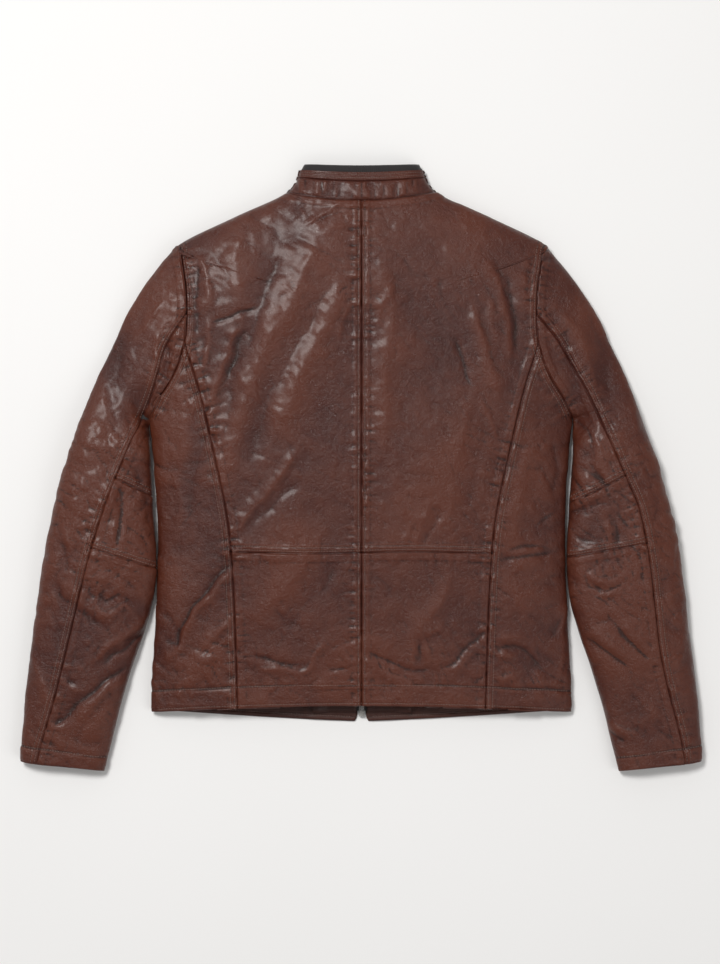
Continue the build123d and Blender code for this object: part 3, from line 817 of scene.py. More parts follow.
def cloth(name, dark, light, weave_mm, rough, sheen, slant=0.0):
    """Woven cloth: two crossed wave patterns make the over and under of the yarns."""
    made, tree, shader, place = new_material(name)
    turn = node(tree, "ShaderNodeMapping")
    turn.inputs["Rotation"].default_value = (0, 0, slant)
    tree.links.new(place, turn.inputs["Vector"])
    waves = []
    for direction in ("X", "Y"):
        wave = node(tree, "ShaderNodeTexWave", bands_direction=direction)
        wave.inputs["Scale"].default_value = BANDS_PER_METRE / weave_mm
        wave.inputs["Distortion"].default_value = 0.6
        wave.inputs["Detail Scale"].default_value = 2.0
        tree.links.new(turn.outputs["Vector"], wave.inputs["Vector"])
        waves.append(wave.outputs["Fac"])
    weave = maths(tree, "MULTIPLY", waves[0], waves[1])
    patch = noise_node(tree, place, 30, 3.0)
    tone = maths(tree, "ADD", maths(tree, "MULTIPLY", weave, 0.6), maths(tree, "MULTIPLY", patch, 0.5))
    tree.links.new(ramp_node(tree, tone, [(0.15, dark), (0.9, light)]), shader.inputs["Base Color"])
    tree.links.new(maths(tree, "MULTIPLY_ADD", patch, 0.16, rough - 0.08), shader.inputs["Roughness"])
    shader.inputs["Sheen Weight"].default_value = sheen
    bump(tree, shader, weave, 0.4, 0.0003)
    return made


def metal(name, dark, light, rough):
    """Dull metal with tarnish in patches and fine scratches."""
    made, tree, shader, place = new_material(name)
    tarnish = noise_node(tree, place, 260, 5.0, 0.6)
    fine = noise_node(tree, place, 1800, 3.0, 0.6)
    tree.links.new(ramp_node(tree, tarnish, [(0.35, dark), (0.65, light)]), shader.inputs["Base Color"])
    tree.links.new(maths(tree, "MULTIPLY_ADD", fine, 0.25, rough - 0.12), shader.inputs["Roughness"])
    shader.inputs["Metallic"].default_value = 1.0
    bump(tree, shader, fine, 0.25, 0.0002)
    return made


THREAD = cloth("brown_thread", (0.100, 0.045, 0.032), (0.300, 0.170, 0.130), 0.5, 0.50, 0.3)
KNIT = cloth("charcoal_knit", (0.0075, 0.0065, 0.0070), (0.030, 0.026, 0.027), 1.1, 0.85, 0.3)
LINING = cloth("lining_cloth", (0.010, 0.008, 0.008), (0.026, 0.021, 0.021), 0.5, 0.45, 0.2, 0.78)
POCKET_CLOTH = cloth("pocket_cloth", (0.013, 0.011, 0.011), (0.034, 0.029, 0.028), 0.7, 0.8, 0.1)
TAPE = cloth("zip_tape_cloth", (0.012, 0.008, 0.008), (0.030, 0.020, 0.019), 0.6, 0.75, 0.1)
METAL = metal("dull_metal", (0.20, 0.19, 0.18), (0.46, 0.45, 0.43), 0.42)

floor_bm = bmesh.new()
bmesh.ops.create_grid(floor_bm, x_segments=1, y_segments=1, size=3.0)
floor = piece_from("floor", floor_bm)
paper, paper_tree, paper_shader, paper_place = new_material("pale_paper")
paper_noise = noise_node(paper_tree, paper_place, 1.2, 2.0)
paper_tone = ramp_node(paper_tree, paper_noise, [(0.3, (0.85, 0.85, 0.845)), (0.7, (0.87, 0.87, 0.868))])
paper_tree.links.new(paper_tone, paper_shader.inputs["Base Color"])
paper_shader.inputs["Roughness"].default_value = 0.95
paper_shader.inputs["Specular IOR Level"].default_value = 0.1
floor.data.materials.append(paper)

# %% [markdown]
# A panel is bounded by four seams, so a grid can be stretched between them: each inner point is a mix of
# the four edges. The edges are kept in the tube's own terms, position across and height up the jacket, so
# the panel follows the dome by itself.

# %% Patches between four seams
def on_back(points):
    """Points of the back, given across and up, as positions on the tube."""
    p = np.array(points, float)
    return np.stack([back_position(p[:, 0], along(BODY, p[:, 1], 1)), p[:, 1]], axis=1)


def on_front(points):
    """Points of the front as positions on the tube."""
    p = np.array(points, float)
    return np.stack([front_position(p[:, 0], along(BODY, p[:, 1], 1)), p[:, 1]], axis=1)


def side_line(low, high, sign=-1):
    """The side seam between two heights."""
    ys = np.linspace(low, high, 40)
    return np.stack([np.full(40, float(sign)), ys], axis=1)


def mirrored(edge):
    """The same edge on the other side."""
    return edge * np.array([-1, 1])


def for_side(edges, sign):
    """These edges, which are drawn on the left, for the left (-1) or the right (1)."""
    return [edge if sign < 0 else mirrored(edge) for edge in edges]


def edge_at(edge, t):
    """Point of an edge at a share of its length."""
    real = body_surface(edge[:, 0], edge[:, 1])
    run = np.concatenate([[0], np.cumsum(np.linalg.norm(np.diff(real, axis=0), axis=1))])
    run = run / run[-1]
    return np.stack([np.interp(t, run, edge[:, 0]), np.interp(t, run, edge[:, 1])], axis=-1)


def patch(bottom, left, top, right, inset=0.0, floor=0.0, skin=body_surface):
    """Surface between four edges, for laid_grid."""
    def surface(q, r):
        b, t, lf, rt = edge_at(bottom, q), edge_at(top, q), edge_at(left, r), edge_at(right, r)
        qq, rr = q[:, None], r[:, None]
        spot = ((1 - rr) * b + rr * t + (1 - qq) * lf + qq * rt
                - (1 - qq) * (1 - rr) * bottom[0] - qq * (1 - rr) * bottom[-1]
                - (1 - qq) * rr * top[0] - qq * rr * top[-1])
        return skin(spot[:, 0], spot[:, 1], inset, floor)
    return surface


def inside_out(point):
    """A point on the tube's own axis, level with this one."""
    return (point[0] * 0.97, point[1], 12.0)


def shell_relief(x, y, z, up):
    """Relief of the body's leather: the full one on the back, a quiet one below."""
    quiet = 0.35 * noise(x / 60, y / 60, 51) + 0.15 * noise(x / 18, y / 18, 52)
    upper = ramp(0.02, 0.6, up)
    return body_relief(x, y) * upper + quiet * (1 - upper)


ARM_EDGE = np.vstack([[(-1.0, 65.0)], on_back(smooth_line(ARMHOLE[-2::-1], 4)[:-1])[2:], [(-1.0, 284.0)]])
SPLIT = int(np.argmin(np.abs(ARM_EDGE[:, 1] - 157)))
LOW_PRINCESS = on_back(cut_line(PRINCESS, -311, WAIST_Y))
HIGH_PRINCESS = on_back(cut_line(PRINCESS, WAIST_Y, 157))
WAIST_EDGE = on_back([(x, WAIST_Y) for x in np.linspace(-165.8, 0, 30)])
HEM_CENTRE = on_back([(x, float(hem_y(x))) for x in np.linspace(-158, 0, 30)])
HEM_SIDE = np.vstack([[(-1.0, float(hem_y(266)))],
                      on_back([(x, float(hem_y(x))) for x in np.linspace(-262, -158, 30)])])
NECK_EDGE = on_back([(x, float(neck_y(x))) for x in np.linspace(-94, 0, 30)])
LOW_PRINCESS[0] = HEM_CENTRE[0]
LOW_PRINCESS[-1] = WAIST_EDGE[0]
HIGH_PRINCESS[0] = WAIST_EDGE[0]
HIGH_PRINCESS[-1] = ARM_EDGE[SPLIT]
HEM_SIDE[-1] = HEM_CENTRE[0]
CENTRE_LOW = np.array([(0.0, float(hem_y(0))), (0.0, WAIST_Y)])
CENTRE_HIGH = np.array([(0.0, WAIST_Y), (0.0, 340.0)])
SHOULDER = np.vstack([side_line(284, 351), NECK_EDGE[:1]])

PANELS = [
    ("back_panel", "back_panel", WAIST_EDGE,
     np.vstack([HIGH_PRINCESS[:-1], ARM_EDGE[SPLIT:], SHOULDER[1:]]), NECK_EDGE, CENTRE_HIGH, 230, 560),
    ("waist_panel", "back_waist_panel", HEM_CENTRE, LOW_PRINCESS, WAIST_EDGE, CENTRE_LOW, 165, 198),
    ("side_panel", "side_back_panel", HEM_SIDE, np.vstack([side_line(float(hem_y(266)), 64), ARM_EDGE[:1]]),
     ARM_EDGE[: SPLIT + 1], np.vstack([LOW_PRINCESS[:-1], HIGH_PRINCESS]), 120, 420),
]

# %% [markdown]
# Now the back itself: two large upper panels that meet at the centre seam, two lower panels below the
# waist seam, and two side panels. Left and right share an outline but not a single fold.

# %% Back panels
STEP = 2.4
skins = []
for sign, side_name in SIDES:
    for title, node_name, bottom, left, top, right, width, height in PANELS:
        edges = for_side((bottom, left, top, right), sign)
        piece = laid_grid(f"{side_name}_{title}_leather", spread(width, STEP), spread(height, STEP),
                          patch(*edges), inside_out, shell_relief)
        skins.append(piece)
        thicken(piece, SHELL_WALL)
        finish_piece(piece, "jacket", [f"{side_name}_{node_name}"], SHELL)

# %% [markdown]
# The fronts lie underneath. Each is one panel from side seam to zip, flat where it rests, with a slot for
# the slanted pocket. The slot is cut with four straight cuts, and the faces between them are removed.

# %% Front panels
POCKET_AT = (-165.0, -125.0)
POCKET_TILT = math.radians(-20)
SLOT = (6.5, 81.0)


def collar_ring(share):
    """Half width, depth and middle of the neck opening, from 0 at the neck seam to 1 at the knit's top."""
    return 97 - 21 * share, 97 - 11 * share, 352 + 36 * share


def scoop(start=5.0):
    """Front neck seam from the side to x = -start."""
    width, depth, centre = collar_ring(0.0)
    angles = np.linspace(math.pi / 2, math.asin(start / width), 50)
    return [(-width * math.sin(t), centre - depth * math.cos(t)) for t in angles]


def pocket_point(x, y, sign):
    """A point of the pocket, given across and along its slot, on the laid-out front."""
    c, s = math.cos(POCKET_TILT), math.sin(POCKET_TILT)
    return (-sign * (POCKET_AT[0] + c * x - s * y), POCKET_AT[1] + s * x + c * y)


def cut_slot(piece, sign, slot):
    """Removes a slot of this half width and half length from a front panel or a piece of the pocket."""
    bm = bmesh.new()
    bm.from_mesh(piece.data)
    for side_x, side_y in ((slot[0], 0), (-slot[0], 0), (0, slot[1]), (0, -slot[1])):
        spot, middle = pocket_point(side_x, side_y, sign), pocket_point(0, 0, sign)
        away = Vector((spot[0] - middle[0], spot[1] - middle[1], 0)).normalized()
        bmesh.ops.bisect_plane(bm, geom=bm.verts[:] + bm.edges[:] + bm.faces[:], dist=1e-6,
                               plane_co=(spot[0] * MM, spot[1] * MM, 0), plane_no=away)
    c, s = math.cos(POCKET_TILT), math.sin(POCKET_TILT)
    gone = []
    for face in bm.faces:
        centre = face.calc_center_median()
        x, y = -sign * centre.x / MM - POCKET_AT[0], centre.y / MM - POCKET_AT[1]
        if abs(c * x + s * y) < slot[0] and abs(c * y - s * x) < slot[1]:
            gone.append(face)
    bmesh.ops.delete(bm, geom=gone, context="FACES")
    bm.to_mesh(piece.data)
    bm.free()


def front_relief(x, y, z, up):
    """Relief of the fronts: full at the side seams, and only soft hollows underneath, where they rest."""
    base = shell_relief(x, y, z, up)
    flat = ramp(-0.5, -0.9, up)
    swell = 0.5 * (noise(x / 70, y / 90, 61) + 0.4 * noise(x / 22, y / 30, 62))
    return base * (1 - flat) + flat * np.minimum(swell, 0)


FRONT_ARM = np.vstack([[(-1.0, 65.0)], on_front(smooth_line(ARMHOLE[-2::-1], 4)[:-1])[2:], [(-1.0, 284.0)]])
FRONT_HEM = np.vstack([[(-1.0, -312.0)],
                       on_front([(x, float(front_hem_y(x))) for x in np.linspace(-250, -9, 40)])])
FRONT_TOP = on_front(scoop())
FRONT_SIDE = np.vstack([side_line(-312, 64), FRONT_ARM, side_line(286, 351), FRONT_TOP[:1]])
FRONT_EDGE = np.vstack([FRONT_HEM[-1:],
                        on_front([(-6.5, -321)] + [(-5.3, y) for y in np.linspace(-316, 255.1, 40)])])
for sign, side_name in SIDES:
    edges = for_side((FRONT_HEM, FRONT_SIDE, FRONT_TOP, FRONT_EDGE), sign)
    piece = laid_grid(f"{side_name}_front_leather", spread(300, STEP * 1.8), spread(760, STEP * 1.8),
                      patch(*edges), inside_out, front_relief)
    cut_slot(piece, sign, SLOT)
    skins.append(piece)
    thicken(piece, 1.8)
    finish_piece(piece, "jacket", [f"{side_name}_front_panel"], SHELL)

# %% [markdown]
# The collar is a leather stand with a narrow leather band above it, and a ribbed knit collar inside that
# stands a little higher. One curved ring carries all three: it runs from one front edge, up over the back
# and down to the other front edge.

# %% Collar
RIB_PITCH = 2.5


def collar_surface(low, high, inset=0.0):
    """The ring between two shares of the collar's height, for laid_grid."""
    def surface(q, r):
        f = low + (high - low) * r
        wide, deep, middle = collar_ring(f)
        sign = np.where(q < 0.5, -1.0, 1.0)
        p = np.minimum(q, 1 - q)
        start = np.arcsin(5.0 / wide)
        turn = start + (math.pi / 2 - start) * np.clip(p / 0.3, 0, 1)
        x_front, y_front = -wide * np.sin(turn), middle - deep * np.cos(turn)
        across = -np.cos(math.pi * (np.clip(p, 0.3, 0.5) - 0.3) / 0.4)
        x_back = wide * across
        y_back = (340 + 47 * f) + (12 - 11 * f) * across**2 - 1.6 * f * (1 - across**2)
        back = p >= 0.3
        a = np.where(back, back_position(x_back, along(BODY, y_back, 1)),
                     front_position(x_front, along(BODY, y_front, 1)))
        a = np.where(np.abs(a) < 1e-9, 0, a)
        y = np.where(back, y_back, y_front)
        spot = body_surface(a, y, inset)
        spot[:, 0] *= -sign
        return spot
    return surface


def collar_share(x, y):
    """How high up the back of the collar a point is, from 0 at the neck seam to 1 at the knit's top."""
    across = np.clip(x / 90, -1, 1) ** 2
    return (y - 340 - 12 * across) / (45.4 - 9.4 * across)


def collar_relief(x, y, z, up):
    """Puckers on the stand, a groove under the band and dents along its two rows of stitches."""
    f = collar_share(x, y)
    back = ramp(0.1, 0.5, up)
    pucker = 1.3 * noise(x / 7.5 + 0.4 * f, f * 1.6, 71) + 0.7 * noise(x / 3.6, f * 2.2, 72)
    stand = ramp(0.0, 0.12, f) * ramp(0.56, 0.46, f)
    total = stand * (pucker + 1.2 * crumple(x, y * 0.6, 17, 73, 1.4, 1.4)) + 0.7 * ramp(0.56, 0.6, f)
    for line, depth, width in ((0.0, 1.0, 0.03), (0.553, 0.7, 0.02), (0.64, 0.5, 0.018), (0.735, 0.5, 0.018)):
        total = total - depth * np.exp(-(((f - line) / width) ** 2))
    small = 0.3 * noise(x / 6, y / 6, 74)
    return back * total + (1 - back) * small


def knit_relief(x, y, z, up):
    """Ribs that stand up and down the collar."""
    turn = np.where(up > 0.05, x, np.arctan2(x, 352 - y) * 92)
    ribs = 0.42 * np.sin(turn * 2 * math.pi / RIB_PITCH)
    return ribs + 0.25 * noise(x / 15, y / 15, 76) + 0.1 * noise(x / 2, y / 2, 77)


def collar_outward(point):
    """A point inside the collar: below its back part and above its front part."""
    return (point[0] * 0.7, point[1], 12.0 if point[2] > 7 else 60)


def stand_outward(point):
    """The same for the stand, whose front part faces away from the neck."""
    if point[2] > 7:
        return (point[0] * 0.7, point[1], 12.0)
    return (point[0] * 0.7, 340 + (point[1] - 340) * 0.2 if point[2] < 7 else point[1], 60)


stand = laid_grid("collar_stand_leather", even(500, 2.0), spread(27, 1.3, (0.0, 0.8, 1.8)),
                  collar_surface(0.0, 0.553), stand_outward, collar_relief)
thicken(stand, SHELL_WALL)
skins.append(stand)
finish_piece(stand, "jacket", ["collar_stand"], SHELL)
top_band = laid_grid("collar_band_leather", even(500, 2.0), spread(12, 0.9, (0.0, 0.6, 1.2)),
                     collar_surface(0.553, 0.80), collar_outward, collar_relief)
thicken(top_band, 1.9)
skins.append(top_band)
finish_piece(top_band, "jacket", ["collar_top_band"], SHELL)
knit = laid_grid("collar_knit", even(500, 0.5), even(47, 3.4),
                 collar_surface(0.02, 1.0, 2.2), collar_outward, knit_relief)
thicken(knit, 1.8)
finish_piece(knit, "jacket", ["collar_rib_knit"], KNIT)

# %% [markdown]
# Inside the hem the leather is turned up as a facing. The front hem hangs lower than the back one, so a
# strip of the fronts' facing shows below it, with its own row of stitches.

# %% Hem facings
def inner_out(point):
    """A point outside the wall, so that the piece faces inwards."""
    return (point[0], point[1], point[2] - 60.0 if point[2] < 10 else point[2] + 60.0)


def facing_relief(x, y, z, up):
    """Soft unevenness and a dent along the stitch row."""
    edge = y - front_hem_y(x)
    return (0.7 * noise(x / 28, y / 20, 81) + 0.35 * noise(x / 8, y / 8, 82)
            - 0.6 * np.exp(-(((edge - 6) / 0.9) ** 2)) - 1.2 * ramp(2.6, 0, edge))


for sign, side_name in SIDES:
    low = on_front([(x, float(front_hem_y(x)) + 0.2) for x in np.linspace(-252, -12, 40)]
                   + [(-8.5, -323), (-7.2, -318)])
    high = on_front([(x, -273.0) for x in np.linspace(-257, -7.2, 40)])
    edges = for_side((low, np.vstack([low[:1], high[:1]]), high, np.vstack([low[-1:], high[-1:]])), sign)
    strip = laid_grid(f"{side_name}_front_hem_facing_leather", even(250, 2.4),
                      spread(50, 2.4, (0.0, 0.8, 1.6, 2.6, 4.0, 5.2, 6.4)), patch(*edges, inset=3.9),
                      inner_out, facing_relief)
    thicken(strip, SHELL_WALL)
    skins.append(strip)
    finish_piece(strip, "jacket", [f"{side_name}_front_hem_facing"], INNER)

back_low = np.vstack([[(-0.985, float(hem_y(264)))],
                      on_back([(x, float(hem_y(x))) for x in np.linspace(-250, 250, 60)]),
                      [(0.985, float(hem_y(264)))]])
back_high = back_low + np.array([0, 33.0])
strip = laid_grid("back_hem_facing_leather", even(560, 4), even(33, 3),
                  patch(back_low + np.array([0, 0.6]), np.vstack([back_low[:1], back_high[:1]]), back_high,
                        np.vstack([back_low[-1:], back_high[-1:]]), inset=4.2), inner_out,
                  lambda x, y, z, up: 0.5 * noise(x / 25, y / 20, 83) + 0.25 * noise(x / 8, y / 8, 84))
thicken(strip, 1.5)
finish_piece(strip, "jacket", ["back_hem_facing"], INNER)

# %% [markdown]
# The lining is a loose inner bag of thin cloth. It is seen through the hem, the cuffs and the neck, so it
# gets soft ripples of its own. It stands off the fronts, which leaves room for the pockets and zips.

# %% Body lining
LINING_SIDE = 13.4


def lining_surface(a, y, inset=3.0, floor=7.2):
    """The lining's tube: narrower than the leather's, and raised above the fronts."""
    half, height = along(BODY, y, 1) - 8.3, along(BODY, y, 2)
    x, z = tube_point(a, half, height - 0.8, inset, floor)
    blend = np.clip(np.abs(a), 0, 1) ** 3
    z = np.where(np.abs(a) <= 1, z + (LINING_SIDE - SIDE_Z) * blend, z)
    low = floor + inset
    z = np.where(np.abs(a) > 1, low + (z - low) * (LINING_SIDE - low) / (SIDE_Z - low), z)
    return np.stack([x, y, z], axis=-1)


def lining_relief(x, y, z, up):
    """Ripples that run up and down, under the leather's own hollows."""
    ripples = 0.5 * noise(x / 18, y / 90, 91) + 0.3 * noise(x / 8, y / 30, 92) - 1.0
    return ripples + np.minimum(body_relief(x, y), 0) * ramp(0, 0.5, up)


LINED_FROM = -272.0
outline = np.vstack([side_line(LINED_FROM, 64), ARM_EDGE, side_line(286, 350)])
full_top = np.vstack([outline[-1:], on_back([(x, float(neck_y(x)) - 1) for x in np.linspace(-88, 88, 50)]),
                      mirrored(outline[-1:])])
low_edge = np.stack([np.linspace(-1, 1, 60), np.full(60, LINED_FROM)], axis=1)
piece = laid_grid("back_lining_cloth", even(560, 5), even(620, 6),
                  patch(low_edge, outline, full_top, mirrored(outline), 3.4, 7.2, lining_surface),
                  inside_out, lining_relief)
thicken(piece, LINING_WALL)
finish_piece(piece, "jacket", ["back_lining"], LINING)
front_outline = np.vstack([side_line(LINED_FROM, 64), FRONT_ARM, side_line(286, 350)])
facing_edge = scoop(64.0)
for sign, side_name in SIDES:
    low = np.vstack([[(-1.0, LINED_FROM)], on_front([(x, LINED_FROM) for x in np.linspace(-250, -64, 40)])])
    top = np.vstack([front_outline[-1:], on_front(facing_edge)[1:]])
    inner = on_front([(-64, y) for y in np.linspace(LINED_FROM, facing_edge[-1][1], 30)])
    edges = for_side((low, front_outline, top, inner), sign)
    piece = laid_grid(f"{side_name}_front_lining_cloth", even(200, 6), even(600, 7),
                      patch(*edges, 3.2, 7.2, lining_surface), inner_out,
                      lambda x, y, z, up: 0.3 * noise(x / 20, y / 60, 93))
    thicken(piece, LINING_WALL)
    finish_piece(piece, "jacket", [f"{side_name}_front_lining"], LINING)

# %% [markdown]
# Down each front edge lies a leather facing, and between the edges the zip: two woven tapes, two rows of
# teeth, a slider with its pull, and the small box and pin at the bottom. The metal parts keep the shapes
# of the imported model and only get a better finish.

# %% Front facings, tapes and metal
def strip_surface(points, low, high):
    """A strip with this cross-section between two heights."""
    p, run = length_along(points)

    def surface(q, r):
        x, z = np.interp(q * run[-1], run, p[:, 0]), np.interp(q * run[-1], run, p[:, 1])
        return np.stack([x, low + (high - low) * r, z], axis=-1)
    return surface


for sign, side_name in SIDES:
    profile = [(sign * x, z) for x, z in ((6.9, 6.7), (43, 6.7), (56, 11.0), (63.5, 11.2))]
    piece = laid_grid(f"{side_name}_front_facing_leather", even(58, 3), even(560, 5),
                      strip_surface(profile, -313, 244), inner_out,
                      lambda x, y, z, up: 0.25 * noise(x / 20, y / 30, 95) - 0.2)
    thicken(piece, 1.0)
    finish_piece(piece, "jacket", [f"{side_name}_front_facing"], INNER)
    profile = [(sign * 3.3, 5.35), (sign * 17.2, 5.35)]
    piece = laid_grid(f"{side_name}_zip_tape_cloth", even(14, 1.4), even(614, 4),
                      strip_surface(profile, -311, 296), inner_out,
                      lambda x, y, z, up: 0.08 * np.sin(y * 2.2) * ramp(5, 9, np.abs(x)))
    thicken(piece, 0.7)
    finish_piece(piece, "jacket", [f"{side_name}_zip_tape"], TAPE)

for name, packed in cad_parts.items():
    if any(word in name for word in ("teeth", "slider", "zip_pull", "retainer", "insertion")):
        packed.data.materials.clear()
        packed.data.materials.append(METAL)
        print("metal", name)

# %% [markdown]
# Each pocket is a slot framed by a leather welt, with a short zip behind it and a flat cloth bag between
# the leather and the lining. They are placed with the slot's own tilt.

# %% Pockets and hanger loop
def pocket_sheet(name, across, along_slot, z, sign, thickness, hole, bulge, node_name, material):
    """A flat piece of the pocket, across and along its slot, with a slot-shaped hole where one is given."""
    def surface(q, r):
        x = across[0] + (across[1] - across[0]) * q
        y = along_slot[0] + (along_slot[1] - along_slot[0]) * r
        spot_x, spot_y = pocket_point(x, y, sign)
        rise = bulge * (4 * q * (1 - q)) ** 0.5 * (4 * r * (1 - r)) ** 0.5
        return np.stack([spot_x, spot_y, z + rise], axis=-1)
    piece = laid_grid(name, even(across[1] - across[0], 3), even(along_slot[1] - along_slot[0], 3), surface,
                      inner_out, lambda x, y, z, up: 0.12 * noise(x / 9, y / 9, 96))
    if hole:
        cut_slot(piece, sign, hole)
    thicken(piece, thickness)
    finish_piece(piece, "jacket", [node_name], material)


for sign, side_name in SIDES:
    pocket_sheet(f"{side_name}_pocket_welt_leather", (-19, 19), (-92, 92), 4.4, sign, 2.2, (7.0, 81.0), 0,
                 f"{side_name}_pocket_welt", INNER)
    pocket_sheet(f"{side_name}_pocket_tape_cloth", (-15.2, 15.2), (-87, 87), 5.3, sign, 0.6, (3.2, 90.0), 0,
                 f"{side_name}_pocket_zip_tape", TAPE)
    pocket_sheet(f"{side_name}_pocket_bag_cloth", (-30, 98), (-117, 57), 9.0, sign, 0.8, None, 0.7,
                 f"{side_name}_pocket_bag", POCKET_CLOTH)

half_loop = [(12, 17.4), (18, 18.2), (23, 21.5), (27, 24.9), (34, 25.0)]
loop_profile, loop_run = length_along([(-x, z) for x, z in half_loop[::-1]] + [(0, 17.1)] + half_loop)


def loop_surface(q, r):
    """A narrow strap that arches down from the lining."""
    x = np.interp(q * loop_run[-1], loop_run, loop_profile[:, 0])
    z = np.interp(q * loop_run[-1], loop_run, loop_profile[:, 1])
    return np.stack([x, 332.2 + 7.6 * r, z + 0.3 * (4 * r * (1 - r))], axis=-1)


loop = laid_grid("hanger_loop_leather", even(80, 1.5), even(8, 1.0), loop_surface,
                 lambda p: (p[0], p[1], p[2] + 50),
                 lambda x, y, z, up: 0.06 * noise(x / 3, y / 3, 97))
thicken(loop, 1.4)
finish_piece(loop, "jacket", ["hanger_loop"], INNER)

# %% [markdown]
# A sleeve is its own tube. Its rows start at the shoulder point, fan out round the sleeve head to the
# underarm, and then run on down to the cuff. Near the head the surface belongs to the body's dome, and
# further down to the arm's, so the two are mixed over a few centimetres. All sleeve pieces use the same
# blend, so their seams stay together.

# %% Sleeve tube
HEAD = 0.33
PIVOT = (-347.0, 101.0)
SLEEVE_WAY = (0.399, -0.917)
BEND_LENGTH = 0.13


def sleeve_bend(hand, side_name):
    """The two bodies and the start and end of a sleeve piece's bend; finish_piece only bakes the transform of
    pieces given these.
    """
    start = Vector((hand * -PIVOT[0] * MM, PIVOT[1] * MM, 0))
    end = start + Vector((hand * SLEEVE_WAY[0], SLEEVE_WAY[1], 0)) * BEND_LENGTH
    return "jacket", f"{side_name}_sleeve", start, end


def by_length(points):
    """Point of a line at a share of its length."""
    p, run = length_along(points)

    def at(t):
        t = np.clip(t, 0, 1) * run[-1]
        return np.interp(t, run, p[:, 0]), np.interp(t, run, p[:, 1])
    return at


ys_head = np.linspace(283, 101, 50)
ys_arm = np.linspace(101, -373.9, 90)
OUTER_HEAD = by_length([(-232.0, 283.0)] + [(-float(along(CAPS, y, 1)), y) for y in ys_head[1:]])
OUTER_ARM = by_length([(-float(along(CAPS, 101, 1)) * (1 - t) - t * float(along(ARM, y, 2)), y)
                       for y, t in zip(ys_arm, ramp(101, 40, ys_arm))])
ys_inner = np.linspace(66, -388.3, 90)
INNER_HEAD = by_length(smooth_line(ARMHOLE, 5))
INNER_ARM = by_length([(-268.0, 67.0)] + [(-float(along(ARM, y, 1)), y) for y in ys_inner[1:]])


def sleeve_row(s):
    """Inner and outer end of a row of the sleeve, s from 0 at the shoulder to 1 at the cuff."""
    head, arm = s / HEAD, (s - HEAD) / (1 - HEAD)
    ends = []
    for first, second in ((INNER_HEAD, INNER_ARM), (OUTER_HEAD, OUTER_ARM)):
        (x1, y1), (x2, y2) = first(head), second(arm)
        ends.append((np.where(s < HEAD, x1, x2), np.where(s < HEAD, y1, y2)))
    return ends


def sleeve_point(s, v, inset=0.0, floor=0.0):
    """Left sleeve: v runs 0 to 1 over the back from the inner to the outer edge, and 1 to 2 back below."""
    s, v = np.asarray(s, float), np.asarray(v, float)
    v = np.where(v < 0, v + 2, v)
    (xi, yi), (xo, yo) = sleeve_row(s)
    below = v > 1
    w = np.where(below, 2 - v, v)
    y = yi + (yo - yi) * w
    half, height = along(CAPS, y, 1), along(CAPS, y, 2)
    inner_a = np.abs(back_position(xi, along(CAPS, yi, 1)))
    top_a = inner_a + (1 - inner_a) * w
    low_a = 2 - np.abs(2 - np.abs(front_position(xi, along(CAPS, yi, 1)))) * (1 - w) - w
    x_cap, z_cap = tube_point(np.where(below, low_a, top_a), half, height, inset, floor)
    body_half = along(BODY, yi, 1)
    z_body = tube_point(np.abs(back_position(xi, body_half)), body_half, along(BODY, yi, 2), inset, floor)[1]
    z_edge = tube_point(inner_a, along(CAPS, yi, 1), along(CAPS, yi, 2), inset, floor)[1]
    z_cap = z_cap + np.where(below, 0, (z_body - z_edge) * (1 - ramp(0, 0.35, w)))
    inner, outer, height = along(ARM, y, 1), along(ARM, y, 2), along(ARM, y, 3)
    middle, half = -(inner + outer) / 2, (outer - inner) / 2
    share = 2 * w - 1
    a = np.where(below, np.where(share < 0, -1, 1) * (2 - np.abs(share)), share)
    x_arm, z_arm = tube_point(np.where(below & (np.abs(share) < 1e-9), 2.0, a), half, height, inset, floor)
    mixed = ramp(HEAD - 0.05, HEAD + 0.09, s)
    x = (1 - mixed) * (-x_cap) + mixed * (middle - x_arm)
    return np.stack([x, y, (1 - mixed) * z_cap + mixed * z_arm], axis=-1)


def seam_place(s, line):
    """Where the sleeve's back seam crosses each row, as v."""
    line = np.array(smooth_line(line, 4))
    order = np.argsort(line[:, 1])
    v = np.linspace(0, 1, 240)
    out = []
    for one in np.atleast_1d(s):
        spots = sleeve_point(np.full(v.shape, one), v)
        side = spots[:, 0] - np.interp(spots[:, 1], line[order, 1], line[order, 0])
        crossing = np.nonzero(side <= 0)[0]
        first = crossing[0] if len(crossing) else 239
        if first == 0:
            out.append(0.0)
        else:
            before, after = side[first - 1], side[first]
            out.append(v[first - 1] + (v[first] - v[first - 1]) * before / (before - after + 1e-9))
    return np.array(out)


S_GRID = np.linspace(0, 1, 160)
SEAM_START = HEAD * 88 / 224


def elbow_place(v, line):
    """Where an elbow seam crosses each column of the sleeve, as s."""
    line = np.array(line, float)
    order = np.argsort(line[:, 0])
    s = np.linspace(HEAD * 0.6, 1, 220)
    out = []
    for one in np.atleast_1d(v):
        spots = sleeve_point(s, np.full(s.shape, one))
        side = spots[:, 1] - np.interp(spots[:, 0], line[order, 0], line[order, 1])
        out.append(s[np.nonzero(side <= 0)[0][0]])
    return np.array(out)


def under_width(s):
    """How far the under sleeve wraps below the inner edge."""
    return 0.17 * ramp(HEAD, HEAD + 0.05, s)


def sleeve_outward(point):
    """A point on the sleeve's own axis."""
    y = point[1]
    middle = (float(along(ARM, y, 1)) + float(along(ARM, y, 2))) / 2 if y < 90 else 250.0
    return (math.copysign(middle, point[0]), y - (15 if y > 90 else 0), 14.0)


